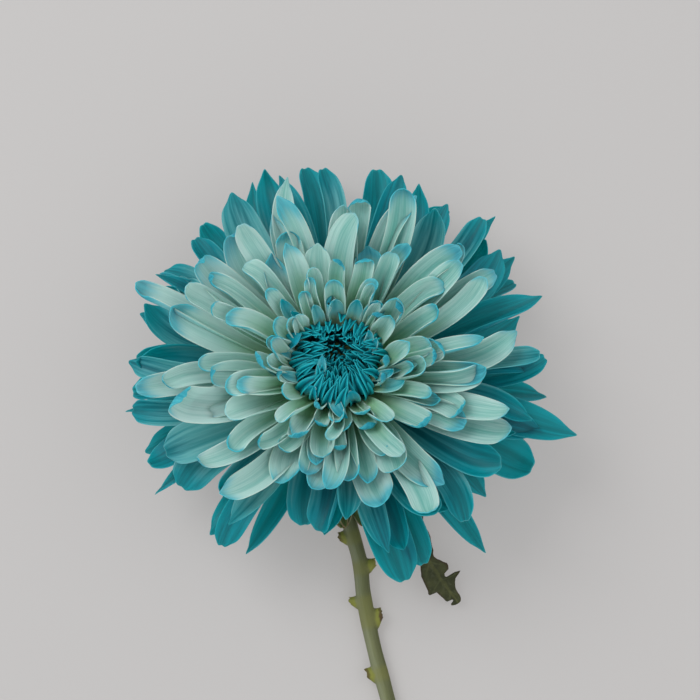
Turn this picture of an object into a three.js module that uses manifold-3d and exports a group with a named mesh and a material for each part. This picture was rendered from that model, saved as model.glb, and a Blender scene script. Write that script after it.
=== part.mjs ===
// A cut chrysanthemum with dyed petals, lying face up on a table with its stem along the surface.
// Millimetres, +Z up. The group is centred on its box, with z = 0 on the table.
//
// The bloom has a frame of its own. Its origin is the heart, the middle of the receptacle that all
// petals grow from. x is the right of the face, y its top and z the axis that the face looks along.
import * as THREE from "three";
import { mergeVertices } from "three/addons/utils/BufferGeometryUtils.js";
import Module from "manifold-3d";

const wasm = await Module();
wasm.setup();

// Driving dimensions
const HEART_HEIGHT = 28; // the receptacle's middle above the table
const BLOOM_LEAN = 12; // degrees that the face leans away from the stem
const BLADE_THICKNESS = 0.9; // a petal along its middle; its edges are sharp
const CLAW_SHARE = 0.34; // a petal's width where it leaves the receptacle, as a share of its widest
const NODE_GAP = 0.35; // clear space between one solid and the next
const FINEST_FACE = 0.04; // faces and edges finer than this are merged
const GOLDEN_ANGLE = 137.508; // degrees from each petal to the next
const STEM_RADIUS = 2.6;
const STEM_NECK_RADIUS = 3.3; // where the stem meets the bracts under the bloom

// The petals by zone, from the middle of the bloom to its rim. Each pair is the value of the zone's
// innermost and outermost petal: root is the distance from the axis, height is along it, rise and
// tip are the slopes at root and tip in degrees above the face's plane, and cup is half the arc of
// the petal's gutter. Petals grow longer towards the top of the face and shorter towards its bottom
// by the shares top and bottom. hook is how far the last quarter turns up. The swings are the
// largest chance departures from those values, in degrees or as a share. stations are the places
// along the petal where its section is cut.
const ZONES = {
  centre: {
    seed: 1000, count: 38, root: [0.8, 10], height: [14, 11], length: [8, 25], width: [3, 4.8],
    rise: [84, 26], tip: [112, 150], cup: [40, 60], hook: 0, claw: 0.55, stations: [0, 0.35, 0.7],
    top: 0, bottom: 0,
    swing: { azimuth: 5, length: 0.07, width: 0.2, rise: 4, tip: 16, twist: 34, bend: 24, hook: 0 },
  },
  inner: {
    seed: 2000, count: 42, root: [10.7, 11.2], height: [9, 7.4], length: [19, 31], width: [5.2, 8.8],
    rise: [60, 48], tip: [84, 44], cup: [78, 60], hook: 6, claw: CLAW_SHARE,
    stations: [0, 0.4, 0.75, 0.93], top: 0, bottom: 0,
    swing: { azimuth: 9, length: 0.14, width: 0.2, rise: 4, tip: 12, twist: 30, bend: 22, hook: 34 },
  },
  middle: {
    seed: 3000, count: 60, root: [11.2, 12], height: [5.8, 2], length: [32, 53], width: [9.4, 11.4],
    rise: [43, 27], tip: [38, 16], cup: [60, 48], hook: 4, claw: CLAW_SHARE,
    stations: [0, 0.4, 0.7, 0.92], top: -0.02, bottom: -0.1,
    swing: { azimuth: 7, length: 0.12, width: 0.2, rise: 4, tip: 9, twist: 30, bend: 18, hook: 30 },
  },
  outer: {
    seed: 4000, count: 52, root: [11.6, 12.2], height: [-0.2, -3.8], length: [52, 55], width: [12.4, 12],
    rise: [20, 4], tip: [11, -8], cup: [52, 40], hook: 0, claw: CLAW_SHARE,
    stations: [0, 0.4, 0.7, 0.92], top: 0.09, bottom: -0.15,
    swing: { azimuth: 5, length: 0.08, width: 0.2, rise: 2, tip: 8, twist: 30, bend: 14, hook: 34 },
  },
};

// The stray petals at the very back, which stand out of the rim or bear on the table:
// azimuth, reach from the axis, width, rise, tip slope, twist and sideways bend
const STRAYS = [
  [-12, 76, 15, 6, -6, 8, -6],
  [-24, 68, 15, 2, -10, 0, 0],
  [-51, 72, 12, -2, -14, 20, -8],
  [-71, 66, 14, -2, -14, -25, 4],
  [246, 60, 9, -6, -14, 30, -14],
  [232, 62, 11, -4, -12, 20, -4],
  [207, 67, 6, -4, -20, 90, 14],
  [200, 64, 12, -2, -12, -20, -6],
  [184, 67, 7, 0, -14, 60, 12],
  [161, 67, 11, 6, -6, 10, 0],
  [148, 65, 8, 20, 6, 30, 10],
  [128, 62, 9, -10, -22, 8, 4],
  [96, 60, 10, -14, -20, -8, 0],
  [66, 63, 9, -10, -22, -10, -4],
  [57, 67, 11, 14, 4, -10, 4],
  [48, 73, 9, 10, 2, 30, -8],
  [33, 70, 10, 8, -2, 50, 10],
  [-5, 66, 11, 4, -8, -40, 8],
];
const STRAY_ROOT = 12.4;
const STRAY_HEIGHT = -4.4;
const STRAY_CUP = 38;
const STRAY_SEED = 4500;

// The rim has a notch where the stem shows: its middle and half width in degrees, and its depth as
// a share of the petals' length
const NOTCH = { azimuth: -97, spread: 15, depth: 0.14 };

// The receptacle in four steps, one for each zone, as [radius, height] from the axis round to it
const CORES = {
  centre: [[0, 10.6], [10.6, 10.6], [10.4, 12.2], [7, 15], [0, 16.4]],
  inner: [[0, 6.8], [12.8, 6.8], [12.4, 8.8], [11.2, 9.9], [0, 9.9]],
  middle: [[0, 1.2], [13.8, 1.2], [13.8, 3.2], [13, 6.4], [0, 6.4]],
  outer: [[0, -6], [12.8, -6], [14.2, -3.8], [13.8, 0.8], [0, 0.8]],
};

// The florets of the centre stay inside this bulb, and the petals round them outside it
const BULB = [[0, 10.3], [10.9, 10.3], [12, 14], [15, 19.5], [16, 25], [12, 31], [0, 35]];
const CORE_SIDES = 16;

// A ray petal's tip is round, pointed or blunt, by chance. It starts to taper at the shoulder, a
// share of its length, and end is its width there where it closes, as a share of its widest.
const TIP_FORMS = {
  round: { shoulder: 0.63, end: 0.34, power: 0.5 },
  pointed: { shoulder: 0.5, end: 0.1, power: 0.8 },
  blunt: { shoulder: 0.74, end: 0.6, power: 0.5 },
  floret: { shoulder: 0.45, end: 0, power: 0.8 },
};

const CUP_SWING = 0.45; // largest chance departure of a petal's cup, as a share
const SWAY = 34; // degrees, largest sideways turn of a petal's outer half by chance

// Petals bend towards the top of the face, most at its sides: the largest bend in degrees, and
// where it is
const COMB = { bend: 12, azimuth: -10 };

const rad = THREE.MathUtils.degToRad;
const mix = THREE.MathUtils.lerp;
const smooth = (x) => THREE.MathUtils.smoothstep(x, 0, 1);
const point = (x, y, z) => new THREE.Vector3(x, y, z);

// A repeatable chance value from -1 to 1 for petal i, one for each use
function draw(i, use) {
  const s = Math.sin(i * 12.9898 + use * 78.233) * 43758.5453;
  return (s - Math.floor(s)) * 2 - 1;
}

// The turn from angle b to angle a, from -PI to PI
const turnBetween = (a, b) => Math.atan2(Math.sin(a - b), Math.cos(a - b));

const bloomToTable = new THREE.Matrix4()
  .makeTranslation(0, 0, HEART_HEIGHT)
  .multiply(new THREE.Matrix4().makeRotationX(-rad(BLOOM_LEAN)));

// The form of a ray petal's tip, by chance. Those of the inner rays are blunt or round.
function tipForm(i, isInner) {
  const chance = draw(i, 10);
  if (isInner) return chance < 0.3 ? TIP_FORMS.blunt : TIP_FORMS.round;
  if (chance > 0.3) return TIP_FORMS.pointed;
  return chance < -0.5 ? TIP_FORMS.blunt : TIP_FORMS.round;
}

// The petals of one zone, placed by the golden angle, each a little different from the next
function zonePetals(zone) {
  const s = zone.swing;
  return Array.from({ length: zone.count }, (_, k) => {
    const share = (k + 0.5) / zone.count;
    const i = zone.seed + k;
    const between = ([a, b]) => mix(a, b, share);
    const azimuth = rad(k * GOLDEN_ANGLE + s.azimuth * draw(i, 1));
    const lopsided = Math.sin(azimuth) ** 2 * (Math.sin(azimuth) > 0 ? zone.top : zone.bottom);
    const offNotch = turnBetween(azimuth, rad(NOTCH.azimuth)) / rad(NOTCH.spread);
    const notch = zone === ZONES.outer ? NOTCH.depth * Math.exp(-(offNotch ** 2)) : 0;
    return {
      azimuth,
      root: between(zone.root),
      height: between(zone.height),
      length: between(zone.length) * (1 + lopsided - notch + s.length * draw(i, 2)),
      width: between(zone.width) * (1 + s.width * draw(i, 3)),
      rise: rad(between(zone.rise) + s.rise * draw(i, 4)),
      tip: rad(between(zone.tip) + s.tip * draw(i, 5)),
      cup: rad(between(zone.cup) * (1 + CUP_SWING * draw(i, 6))),
      twist: rad(s.twist * draw(i, 7)),
      bend: rad(s.bend * draw(i, 8) + COMB.bend * Math.cos(azimuth - rad(COMB.azimuth))),
      hook: rad(zone.hook + s.hook * draw(i, 9)),
      sway: rad(SWAY * draw(i, 14)),
      tipForm: zone === ZONES.centre ? TIP_FORMS.floret : tipForm(i, zone === ZONES.inner),
      claw: zone.claw,
      stations: zone.stations,
    };
  });
}

function strayPetals() {
  return STRAYS.map(([azimuth, reach, width, rise, tip, twist, bend], k) => ({
    azimuth: rad(azimuth),
    root: STRAY_ROOT,
    height: STRAY_HEIGHT,
    length: (reach - STRAY_ROOT) / Math.cos(rad((rise + tip) / 2)),
    width,
    rise: rad(rise),
    tip: rad(tip),
    cup: rad(STRAY_CUP),
    twist: rad(twist),
    bend: rad(bend),
    hook: 0,
    sway: rad(SWAY * draw(STRAY_SEED + k, 14)),
    tipForm: tipForm(STRAY_SEED + k, false),
    claw: CLAW_SHARE,
    stations: ZONES.outer.stations,
  }));
}

// The petal's run at share t of its length: along it, across it and up from its face
function directions(petal, t) {
  const slope =
    mix(petal.rise, petal.tip, smooth(t * 0.9 + 0.05)) + petal.hook * smooth((t - 0.72) / 0.28);
  const turn = petal.azimuth + petal.bend * t * t + petal.sway * smooth((t - 0.5) * 2);
  const along = point(
    Math.cos(slope) * Math.cos(turn), Math.cos(slope) * Math.sin(turn), Math.sin(slope));
  const across = point(-Math.sin(turn), Math.cos(turn), 0);
  const up = along.clone().cross(across);
  const twist = petal.twist * t * t;
  return {
    along,
    across: across.clone().multiplyScalar(Math.cos(twist)).addScaledVector(up, Math.sin(twist)),
    up: up.clone().multiplyScalar(Math.cos(twist)).addScaledVector(across, -Math.sin(twist)),
  };
}

const LINE_STEPS = 24;

// The middle line of a petal as a function of t, summed in equal steps
function middleLine(petal) {
  const at = [
    point(petal.root * Math.cos(petal.azimuth), petal.root * Math.sin(petal.azimuth), petal.height)];
  for (let k = 0; k < LINE_STEPS; k++) {
    const { along } = directions(petal, (k + 0.5) / LINE_STEPS);
    at.push(at[k].clone().addScaledVector(along, petal.length / LINE_STEPS));
  }
  return (t) => {
    const k = Math.min(Math.floor(t * LINE_STEPS), LINE_STEPS - 1);
    return at[k].clone().lerp(at[k + 1], t * LINE_STEPS - k);
  };
}

// The width at t as a share of the widest: a narrow claw, full sides and a tapered tip
function widthShare(petal, t) {
  const { shoulder, end, power } = petal.tipForm;
  const body = petal.claw + (1 - petal.claw) * Math.sin((Math.PI / 2) * Math.min(t / 0.66, 1));
  const x = Math.max((t - shoulder) / (1 - shoulder), 0);
  return body * (end + (1 - end) * (1 - x * x) ** power);
}

// A closed solid through loops of points that run from its start to its end. The end is closed with
// a point, or flat with a fan as the start is.
function loft(loops, apex) {
  const n = loops[0].length;
  const points = loops.flat();
  const faces = [];
  const last = (loops.length - 1) * n;
  for (let j = 0; j < loops.length - 1; j++) {
    for (let k = 0; k < n; k++) {
      const a = j * n + k;
      const b = j * n + ((k + 1) % n);
      faces.push(a, b, b + n, a, b + n, a + n);
    }
  }
  for (let k = 1; k < n - 1; k++) faces.push(0, k + 1, k);
  if (apex) {
    points.push(apex);
    for (let k = 0; k < n; k++) faces.push(last + k, last + ((k + 1) % n), points.length - 1);
  } else {
    for (let k = 1; k < n - 1; k++) faces.push(last, last + k, last + k + 1);
  }
  return new THREE.BufferGeometry().setFromPoints(points).setIndex(faces);
}

// A geometry as a solid that can be joined and cut
function solid(geometry) {
  const bare = new THREE.BufferGeometry()
    .setAttribute("position", geometry.getAttribute("position"))
    .setIndex(geometry.getIndex());
  const merged = mergeVertices(bare, 1e-4);
  return new wasm.Manifold(new wasm.Mesh({
    numProp: 3,
    vertProperties: merged.getAttribute("position").array,
    triVerts: new Uint32Array(merged.getIndex().array),
  }));
}

// A section of the blade stands on the table where it would sink into it
function liftClear(loop) {
  const lowest = Math.min(...loop.map((p) => p.z));
  if (lowest < 0) loop.forEach((p) => (p.z -= lowest));
  return loop;
}

// A petal as a thin gutter with sharp edges. extra makes it that much fatter all round.
function petalSolid(petal, extra = 0) {
  const line = middleLine(petal);
  const half = BLADE_THICKNESS / 2 + extra;
  const loops = petal.stations.map((t) => {
    const { across, up } = directions(petal, t);
    const middle = line(t);
    const cup = petal.cup * (0.75 + 0.25 * smooth(t * 2));
    const reach = (petal.width / 2) * widthShare(petal, t);
    const side = (reach * Math.sin(cup)) / cup + extra * 2;
    const rim = (reach * (1 - Math.cos(cup))) / cup;
    const at = (x, z) => middle.clone().addScaledVector(across, x).addScaledVector(up, z)
      .applyMatrix4(bloomToTable);
    return liftClear([at(0, -half), at(side, rim), at(0, half), at(-side, rim)]);
  });
  const end = line(1).addScaledVector(directions(petal, 1).along, extra * 3)
    .applyMatrix4(bloomToTable);
  end.z = Math.max(end.z, BLADE_THICKNESS / 2);
  return solid(loft(loops, end));
}

function coreSolid(profile, extra = 0) {
  const grown = profile.map(([r, h], k) => {
    const outwards = k < profile.length / 2 ? -extra : extra;
    return new THREE.Vector2(r > 0 ? r + extra : 0, h + outwards);
  });
  const lathe = new THREE.LatheGeometry(grown, CORE_SIDES).rotateX(Math.PI / 2);
  return solid(lathe.applyMatrix4(bloomToTable));
}

const join = (solids) => wasm.Manifold.union(solids);

// The largest body of a solid, without loose scraps, with its finest faces merged
function mainBody(s) {
  const bodies = s.simplify(FINEST_FACE).decompose();
  return bodies.reduce((a, b) => (b.volume() > a.volume() ? b : a));
}

// One zone of petals on its step of the receptacle
function raySolid(petals, core, extra = 0) {
  return join([coreSolid(core, extra), ...petals.map((p) => petalSolid(p, extra))]);
}

// The stem's middle line, from under the bloom to the cut end, and its radius along it
const NECK = point(0, 0, -14.6).applyMatrix4(bloomToTable);
const STEM_LINE = new THREE.CatmullRomCurve3([
  NECK,
  point(0, -5.2, 9.2),
  point(0.6, -12, 6.2),
  point(1.8, -26, 6.2),
  point(3.6, -43, 6.6),
  point(7.2, -57, 4.9),
  point(8.3, -67, 3.9),
  point(11.4, -83, 3),
  point(15.9, -100, STEM_RADIUS),
  point(21, -121, STEM_RADIUS),
  point(24, -142, STEM_RADIUS),
  point(28.5, -166, STEM_RADIUS),
]);
const STEM_STEPS = 30;
const STEM_SIDES = 8;
const CUT_SLANT = 30; // degrees between the cut end and a square cut

// Where leaves were stripped: the stub's y on the table, degrees round the stem from its left side
// seen from above, length, and how far the stub stands out
const STUBS = [
  [-48.5, 10, 5.4, 2.4],
  [-58.5, 172, 5, 2.8],
  [-69.5, -8, 4.6, 2.6],
  [-75.5, 176, 7, 2.6],
  [-92, 14, 6, 2.4],
  [-110, 150, 5, 2.4],
  [-130, 30, 5.4, 2.5],
  [-150, 165, 4.6, 2.2],
];

// The share of the stem's length where it passes y
function shareAt(y) {
  let share = 0;
  while (STEM_LINE.getPointAt(share).y > y) share += 0.002;
  return share;
}

// Across and up from the stem at share t, square to its run
function stemFrame(t) {
  const along = STEM_LINE.getTangentAt(t);
  const across = point(1, 0, 0).addScaledVector(along, -along.x).normalize();
  return { along, across, up: along.clone().cross(across).normalize() };
}

function stemRadius(t) {
  const neck = (STEM_NECK_RADIUS - STEM_RADIUS) * (1 - smooth(t / 0.08));
  return STEM_RADIUS + neck;
}

function stemGeometry(extra = 0) {
  const loops = Array.from({ length: STEM_STEPS + 1 }, (_, j) => {
    const t = j / STEM_STEPS;
    const { along, across, up } = stemFrame(t);
    const middle = STEM_LINE.getPointAt(t).addScaledVector(along, j === 0 ? -extra : 0);
    const radius = stemRadius(t) + extra;
    const slant = j === STEM_STEPS ? Math.tan(rad(CUT_SLANT)) : 0;
    return Array.from({ length: STEM_SIDES }, (_, k) => {
      const a = (k / STEM_SIDES + 1 / (2 * STEM_SIDES)) * Math.PI * 2;
      return middle.clone().addScaledVector(across, radius * Math.cos(a))
        .addScaledVector(up, radius * Math.sin(a))
        .addScaledVector(along, slant * radius * Math.cos(a));
    });
  });
  return loft(loops.map((loop) => liftClear(loop)));
}

// The stub of a stripped leaf stalk: a short wedge that leans towards the bloom
function stubSolid([y, degrees, length, stand]) {
  const t = shareAt(y);
  const { along, across, up } = stemFrame(t);
  const middle = STEM_LINE.getPointAt(t);
  const out = across.clone().multiplyScalar(-Math.cos(rad(degrees)))
    .addScaledVector(up, Math.sin(rad(degrees)));
  const side = out.clone().cross(along);
  const stand0 = stemRadius(t) - 1.4;
  const ring = (stands, run, halfRun, halfSide) => [0, 1, 2, 3, 4].map((k) => {
    const a = (k / 5) * Math.PI * 2;
    return middle.clone().addScaledVector(out, stands)
      .addScaledVector(along, run + halfRun * Math.cos(a))
      .addScaledVector(side, halfSide * Math.sin(a));
  });
  const top = stemRadius(t) + stand;
  return solid(loft([
    ring(stand0, 0, length * 0.55, 1.9),
    ring(stemRadius(t) + stand * 0.45, -length * 0.1, length * 0.4, 1.6),
    ring(top, -length * 0.26, length * 0.18, 0.8),
  ].map((loop) => liftClear(loop))));
}

// The cup of green bracts under the bloom
const CUP = [[0, -14.3], [3.9, -14.3], [6.4, -13], [10.4, -10.2], [12.4, -7.6], [12.6, -6.4], [0, -6.4]];
const BRACT_ROWS = [
  { count: 9, root: 4, height: -13, length: 8, width: 5.2, rise: 12, tip: 34 },
  { count: 11, root: 7, height: -11.4, length: 9, width: 5.6, rise: 22, tip: 42 },
];

function bractPetals() {
  return BRACT_ROWS.flatMap((row, r) => Array.from({ length: row.count }, (_, k) => ({
    azimuth: rad((360 / row.count) * (k + 0.5 * r) + 3 * draw(5000 + r * 40 + k, 1)),
    root: row.root,
    height: row.height,
    length: row.length * (1 + 0.1 * draw(5000 + r * 40 + k, 2)),
    width: row.width,
    rise: rad(row.rise),
    tip: rad(row.tip),
    cup: rad(30),
    twist: 0,
    bend: 0,
    hook: 0,
    sway: 0,
    tipForm: TIP_FORMS.round,
    claw: 0.8,
    stations: [0, 0.6],
  })));
}

// The one leaf left on the stem: its stalk, and a withered blade with ragged lobes. The blade's
// stations are share of its length, and half its width to the left and to the right.
const LEAF_STALK = new THREE.CatmullRomCurve3([
  point(1.6, -22, 6.6), point(7, -24, 10), point(13, -28.5, 11), point(18.5, -35.5, 10.4),
]);
const LEAF_RIB = new THREE.CatmullRomCurve3([
  point(17.5, -34, 10.6), point(22.5, -42, 10), point(28, -51, 8.8), point(34, -60, 6.6),
  point(38.4, -69.5, 3.6),
]);
const LEAF_LOBES = [
  [0, 1.2, 1.2], [0.1, 3.4, 3], [0.2, 8, 7], [0.27, 8.6, 6.4], [0.32, 4.6, 4], [0.42, 6.8, 6.2],
  [0.52, 9.4, 8], [0.58, 9, 8.6], [0.63, 5, 4.4], [0.7, 4.6, 9], [0.76, 6.6, 9.4], [0.81, 6, 4],
  [0.88, 3.6, 4.2], [0.94, 3.2, 3.4], [0.97, 1.4, 2.4],
];
const LEAF_THICKNESS = 0.9;
const LEAF_CUP = 24; // degrees that each half of the blade rises from its rib
const STALK_RADIUS = 1.1;

function leafBlade() {
  const half = LEAF_THICKNESS / 2;
  const loops = LEAF_LOBES.map(([t, left, right]) => {
    const along = LEAF_RIB.getTangentAt(t);
    const across = point(0, 0, 1).cross(along).normalize();
    const up = along.clone().cross(across);
    const middle = LEAF_RIB.getPointAt(t);
    const at = (x, z) => middle.clone().addScaledVector(across, x).addScaledVector(up, z);
    const lift = Math.tan(rad(LEAF_CUP)) * (1 - 0.9 * t);
    return liftClear([at(0, -half), at(right, right * lift), at(0, half), at(-left, left * lift)]);
  });
  return solid(loft(loops, LEAF_RIB.getPointAt(1)));
}

function leafStalk() {
  const loops = [0, 0.2, 0.4, 0.6, 0.8, 1].map((t) => {
    const along = LEAF_STALK.getTangentAt(t);
    const across = point(0, 0, 1).cross(along).normalize();
    const up = along.clone().cross(across);
    const middle = LEAF_STALK.getPointAt(t);
    return [0, 1, 2, 3, 4, 5].map((k) => {
      const a = (k / 6) * Math.PI * 2;
      return middle.clone().addScaledVector(across, STALK_RADIUS * Math.cos(a))
        .addScaledVector(up, STALK_RADIUS * Math.sin(a));
    });
  });
  return solid(loft(loops));
}

// Each zone is cut clear of the one that stands above it
const petals = {
  centre: zonePetals(ZONES.centre),
  inner: zonePetals(ZONES.inner),
  middle: zonePetals(ZONES.middle),
  outer: [...zonePetals(ZONES.outer), ...strayPetals()],
};
const centre = mainBody(raySolid(petals.centre, CORES.centre).intersect(coreSolid(BULB)));
const inner = mainBody(raySolid(petals.inner, CORES.inner).subtract(coreSolid(BULB, NODE_GAP)));
const middle = mainBody(
  raySolid(petals.middle, CORES.middle).subtract(raySolid(petals.inner, CORES.inner, NODE_GAP)));
const outer = mainBody(
  raySolid(petals.outer, CORES.outer).subtract(raySolid(petals.middle, CORES.middle, NODE_GAP)));

const stem = mainBody(join([solid(stemGeometry()), ...STUBS.map(stubSolid)]));
const bracts = mainBody(
  join([coreSolid(CUP), ...bractPetals().map((p) => petalSolid(p))])
    .subtract(raySolid(petals.outer, CORES.outer, NODE_GAP))
    .subtract(solid(stemGeometry(NODE_GAP))));
const leaf = mainBody(join([leafStalk(), leafBlade()]).subtract(solid(stemGeometry(NODE_GAP))));

function meshOf(name, made, colour, roughness) {
  const { vertProperties, triVerts } = made.getMesh();
  const geometry = new THREE.BufferGeometry()
    .setAttribute("position", new THREE.BufferAttribute(vertProperties, 3))
    .setIndex(new THREE.BufferAttribute(triVerts, 1));
  geometry.computeVertexNormals();
  const mesh = new THREE.Mesh(
    geometry, new THREE.MeshStandardMaterial({ color: colour, roughness, metalness: 0 }));
  mesh.name = name;
  return mesh;
}

const flower = new THREE.Group();
flower.add(
  meshOf("centre_florets", centre, 0x10707c, 0.6),
  meshOf("inner_rays", inner, 0x9fc0ae, 0.55),
  meshOf("middle_rays", middle, 0x94b8ac, 0.55),
  meshOf("outer_rays", outer, 0x127a84, 0.55),
  meshOf("bract_cup", bracts, 0x5c6b34, 0.7),
  meshOf("stem", stem, 0x7b8158, 0.7),
  meshOf("leaf", leaf, 0x3f4430, 0.8),
);
const box = new THREE.Box3().setFromObject(flower, true);
const middleOfBox = box.getCenter(new THREE.Vector3());
flower.position.set(-middleOfBox.x, -middleOfBox.y, -box.min.z);

export default flower;
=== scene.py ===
# %% [markdown]
# # A tinted chrysanthemum, cell by cell
# A cut bloom lies face up on a table, on its lowest petals and on its bare green stem. The dye has
# gone into the rims of the pale petals and through the whole of the outer ones. The solid model
# holds the flower's true size and place, so it is loaded first, and each piece here takes the
# place of one of its nodes. A flower could also be scanned or sculpted whole, but then no petal
# would have an edge of its own, so each petal here is a real blade.

import math
from types import SimpleNamespace

import bmesh
import bpy
import numpy as np
from mathutils import Matrix, Vector


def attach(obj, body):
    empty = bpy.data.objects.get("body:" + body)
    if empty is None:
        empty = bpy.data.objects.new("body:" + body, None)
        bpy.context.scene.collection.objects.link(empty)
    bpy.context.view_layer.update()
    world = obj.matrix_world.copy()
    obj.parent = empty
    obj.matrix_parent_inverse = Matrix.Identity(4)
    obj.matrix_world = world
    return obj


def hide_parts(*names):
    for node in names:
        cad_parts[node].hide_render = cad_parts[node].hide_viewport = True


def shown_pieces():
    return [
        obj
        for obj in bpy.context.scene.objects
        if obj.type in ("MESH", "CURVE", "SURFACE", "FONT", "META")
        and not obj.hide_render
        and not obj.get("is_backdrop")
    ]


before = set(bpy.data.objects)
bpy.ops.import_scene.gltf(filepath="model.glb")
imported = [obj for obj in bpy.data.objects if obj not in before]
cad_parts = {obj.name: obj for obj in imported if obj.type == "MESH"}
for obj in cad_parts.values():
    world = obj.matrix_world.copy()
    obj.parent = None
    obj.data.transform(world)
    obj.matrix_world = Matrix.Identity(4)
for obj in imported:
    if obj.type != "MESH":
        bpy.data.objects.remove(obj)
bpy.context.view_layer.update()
MM = 0.001

# %% [markdown]
# ## Where the bloom is
# All petals grow from the heart, the middle of the receptacle under the face. The bloom has axes
# of its own there: x to the right of the face, y to its top and z out of it. A face that leans
# away from the stem by a few degrees is what lets a cut flower lie on a table. Petals are made in
# these axes and moved to the table as a whole at the end, because one matrix is simpler than
# turning every petal by itself.

# %% The heart and the bloom's axes
HEART = Vector((-4.865, 48.95, 28.0)) * MM
BLOOM_LEAN = math.radians(12)
bloom_to_table = Matrix.Translation(HEART) @ Matrix.Rotation(-BLOOM_LEAN, 4, "X")
DISC_TOP = 20 * MM
disc_middle = bloom_to_table @ Vector((0, 0, DISC_TOP))
print("the disc's middle is at", [round(part / MM, 1) for part in disc_middle], "mm")

# %% [markdown]
# ## Working by hand, in code
# Every step of modelling acts on what is selected, and the loaded nodes are still selected now.
# These helpers leave one object selected, open it for editing, and pick some of its points. Others
# add a plain form, copy one, read its points and put them elsewhere.

# %% Helpers that select
def take(thing):
    """Leaves this object alone selected, and makes it the active one."""
    bpy.ops.object.select_all(action="DESELECT")
    thing.select_set(True)
    bpy.context.view_layer.objects.active = thing


def open_up(thing):
    take(thing)
    bpy.ops.object.mode_set(mode="EDIT")
    bpy.ops.mesh.select_mode(type="VERT")


def close_up():
    bpy.ops.object.mode_set(mode="OBJECT")


def pick(thing, test):
    """Selects the points of an open object whose number and place pass the test."""
    bpy.ops.mesh.select_all(action="DESELECT")
    mesh = bmesh.from_edit_mesh(thing.data)
    for vertex in mesh.verts:
        vertex.select = bool(test(vertex.index, vertex.co))
    mesh.select_flush_mode()
    bmesh.update_edit_mesh(thing.data)


def apply_all(thing):
    """Applies the object's modifiers in their order."""
    take(thing)
    for name in [modifier.name for modifier in thing.modifiers]:
        bpy.ops.object.modifier_apply(modifier=name)


def join(things, name):
    """Joins objects into the first of them."""
    bpy.ops.object.select_all(action="DESELECT")
    for thing in things:
        thing.select_set(True)
    bpy.context.view_layer.objects.active = things[0]
    bpy.ops.object.join()
    things[0].name = name
    return things[0]


def shade_smooth(thing):
    take(thing)
    bpy.ops.object.shade_smooth()


def faces_of(thing):
    thing.data.calc_loop_triangles()
    return len(thing.data.loop_triangles)


print("ready to select")

# %% Helpers that add, copy and move
def plain_form(name, add, **sizes):
    """A primitive with nothing else selected, its origin at the world's and its map named."""
    bpy.ops.object.select_all(action="DESELECT")
    add(**sizes)
    bpy.ops.object.transform_apply(location=True)
    form = bpy.context.object
    form.name = name
    form.data.uv_layers[0].name = "blade"
    return form


def copy_of(blank):
    """A copy with a mesh of its own."""
    copy = blank.copy()
    copy.data = blank.data.copy()
    bpy.context.scene.collection.objects.link(copy)
    return copy


def points_of(thing):
    flat = np.empty(len(thing.data.vertices) * 3)
    thing.data.vertices.foreach_get("co", flat)
    return flat.reshape(-1, 3)


def put_points(thing, points):
    thing.data.vertices.foreach_set("co", points.ravel())
    thing.data.update()


print("ready to model")

# %% [markdown]
# ## Shader maths as plain expressions
# A colour that runs along a petal is a short formula, and a formula reads best as a formula. So a
# small class wraps a socket of a material, and sums and products of such sockets add the Math
# nodes. Colours go through Mix nodes instead, because a Math node would turn them grey.

# %% Sockets that can be added and multiplied
class Wire:
    """One output of a node. Adding or multiplying it makes the Math node."""

    def __init__(self, finish, socket):
        self.finish = finish
        self.socket = socket

    def output(self, number):
        """Another output of the same node."""
        return Wire(self.finish, self.socket.node.outputs[number])

    def math(self, operation, first, second):
        return self.finish.node("ShaderNodeMath", {"operation": operation}, {0: first, 1: second})

    def __add__(self, other):
        return self.math("ADD", self, other)

    __radd__ = __add__

    def __sub__(self, other):
        return self.math("SUBTRACT", self, other)

    def __rsub__(self, other):
        return self.math("SUBTRACT", other, self)

    def __mul__(self, other):
        return self.math("MULTIPLY", self, other)

    __rmul__ = __mul__

    def __abs__(self):
        return self.math("ABSOLUTE", self, 0.0)

    def over(self, other):
        """The larger of the two."""
        return self.math("MAXIMUM", self, other)

    def ramp(self, low, high):
        """0 up to low, 1 from high, and smooth between them."""
        return self.finish.node(
            "ShaderNodeMapRange", {"interpolation_type": "SMOOTHSTEP"}, {0: self, 1: low, 2: high})


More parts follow.
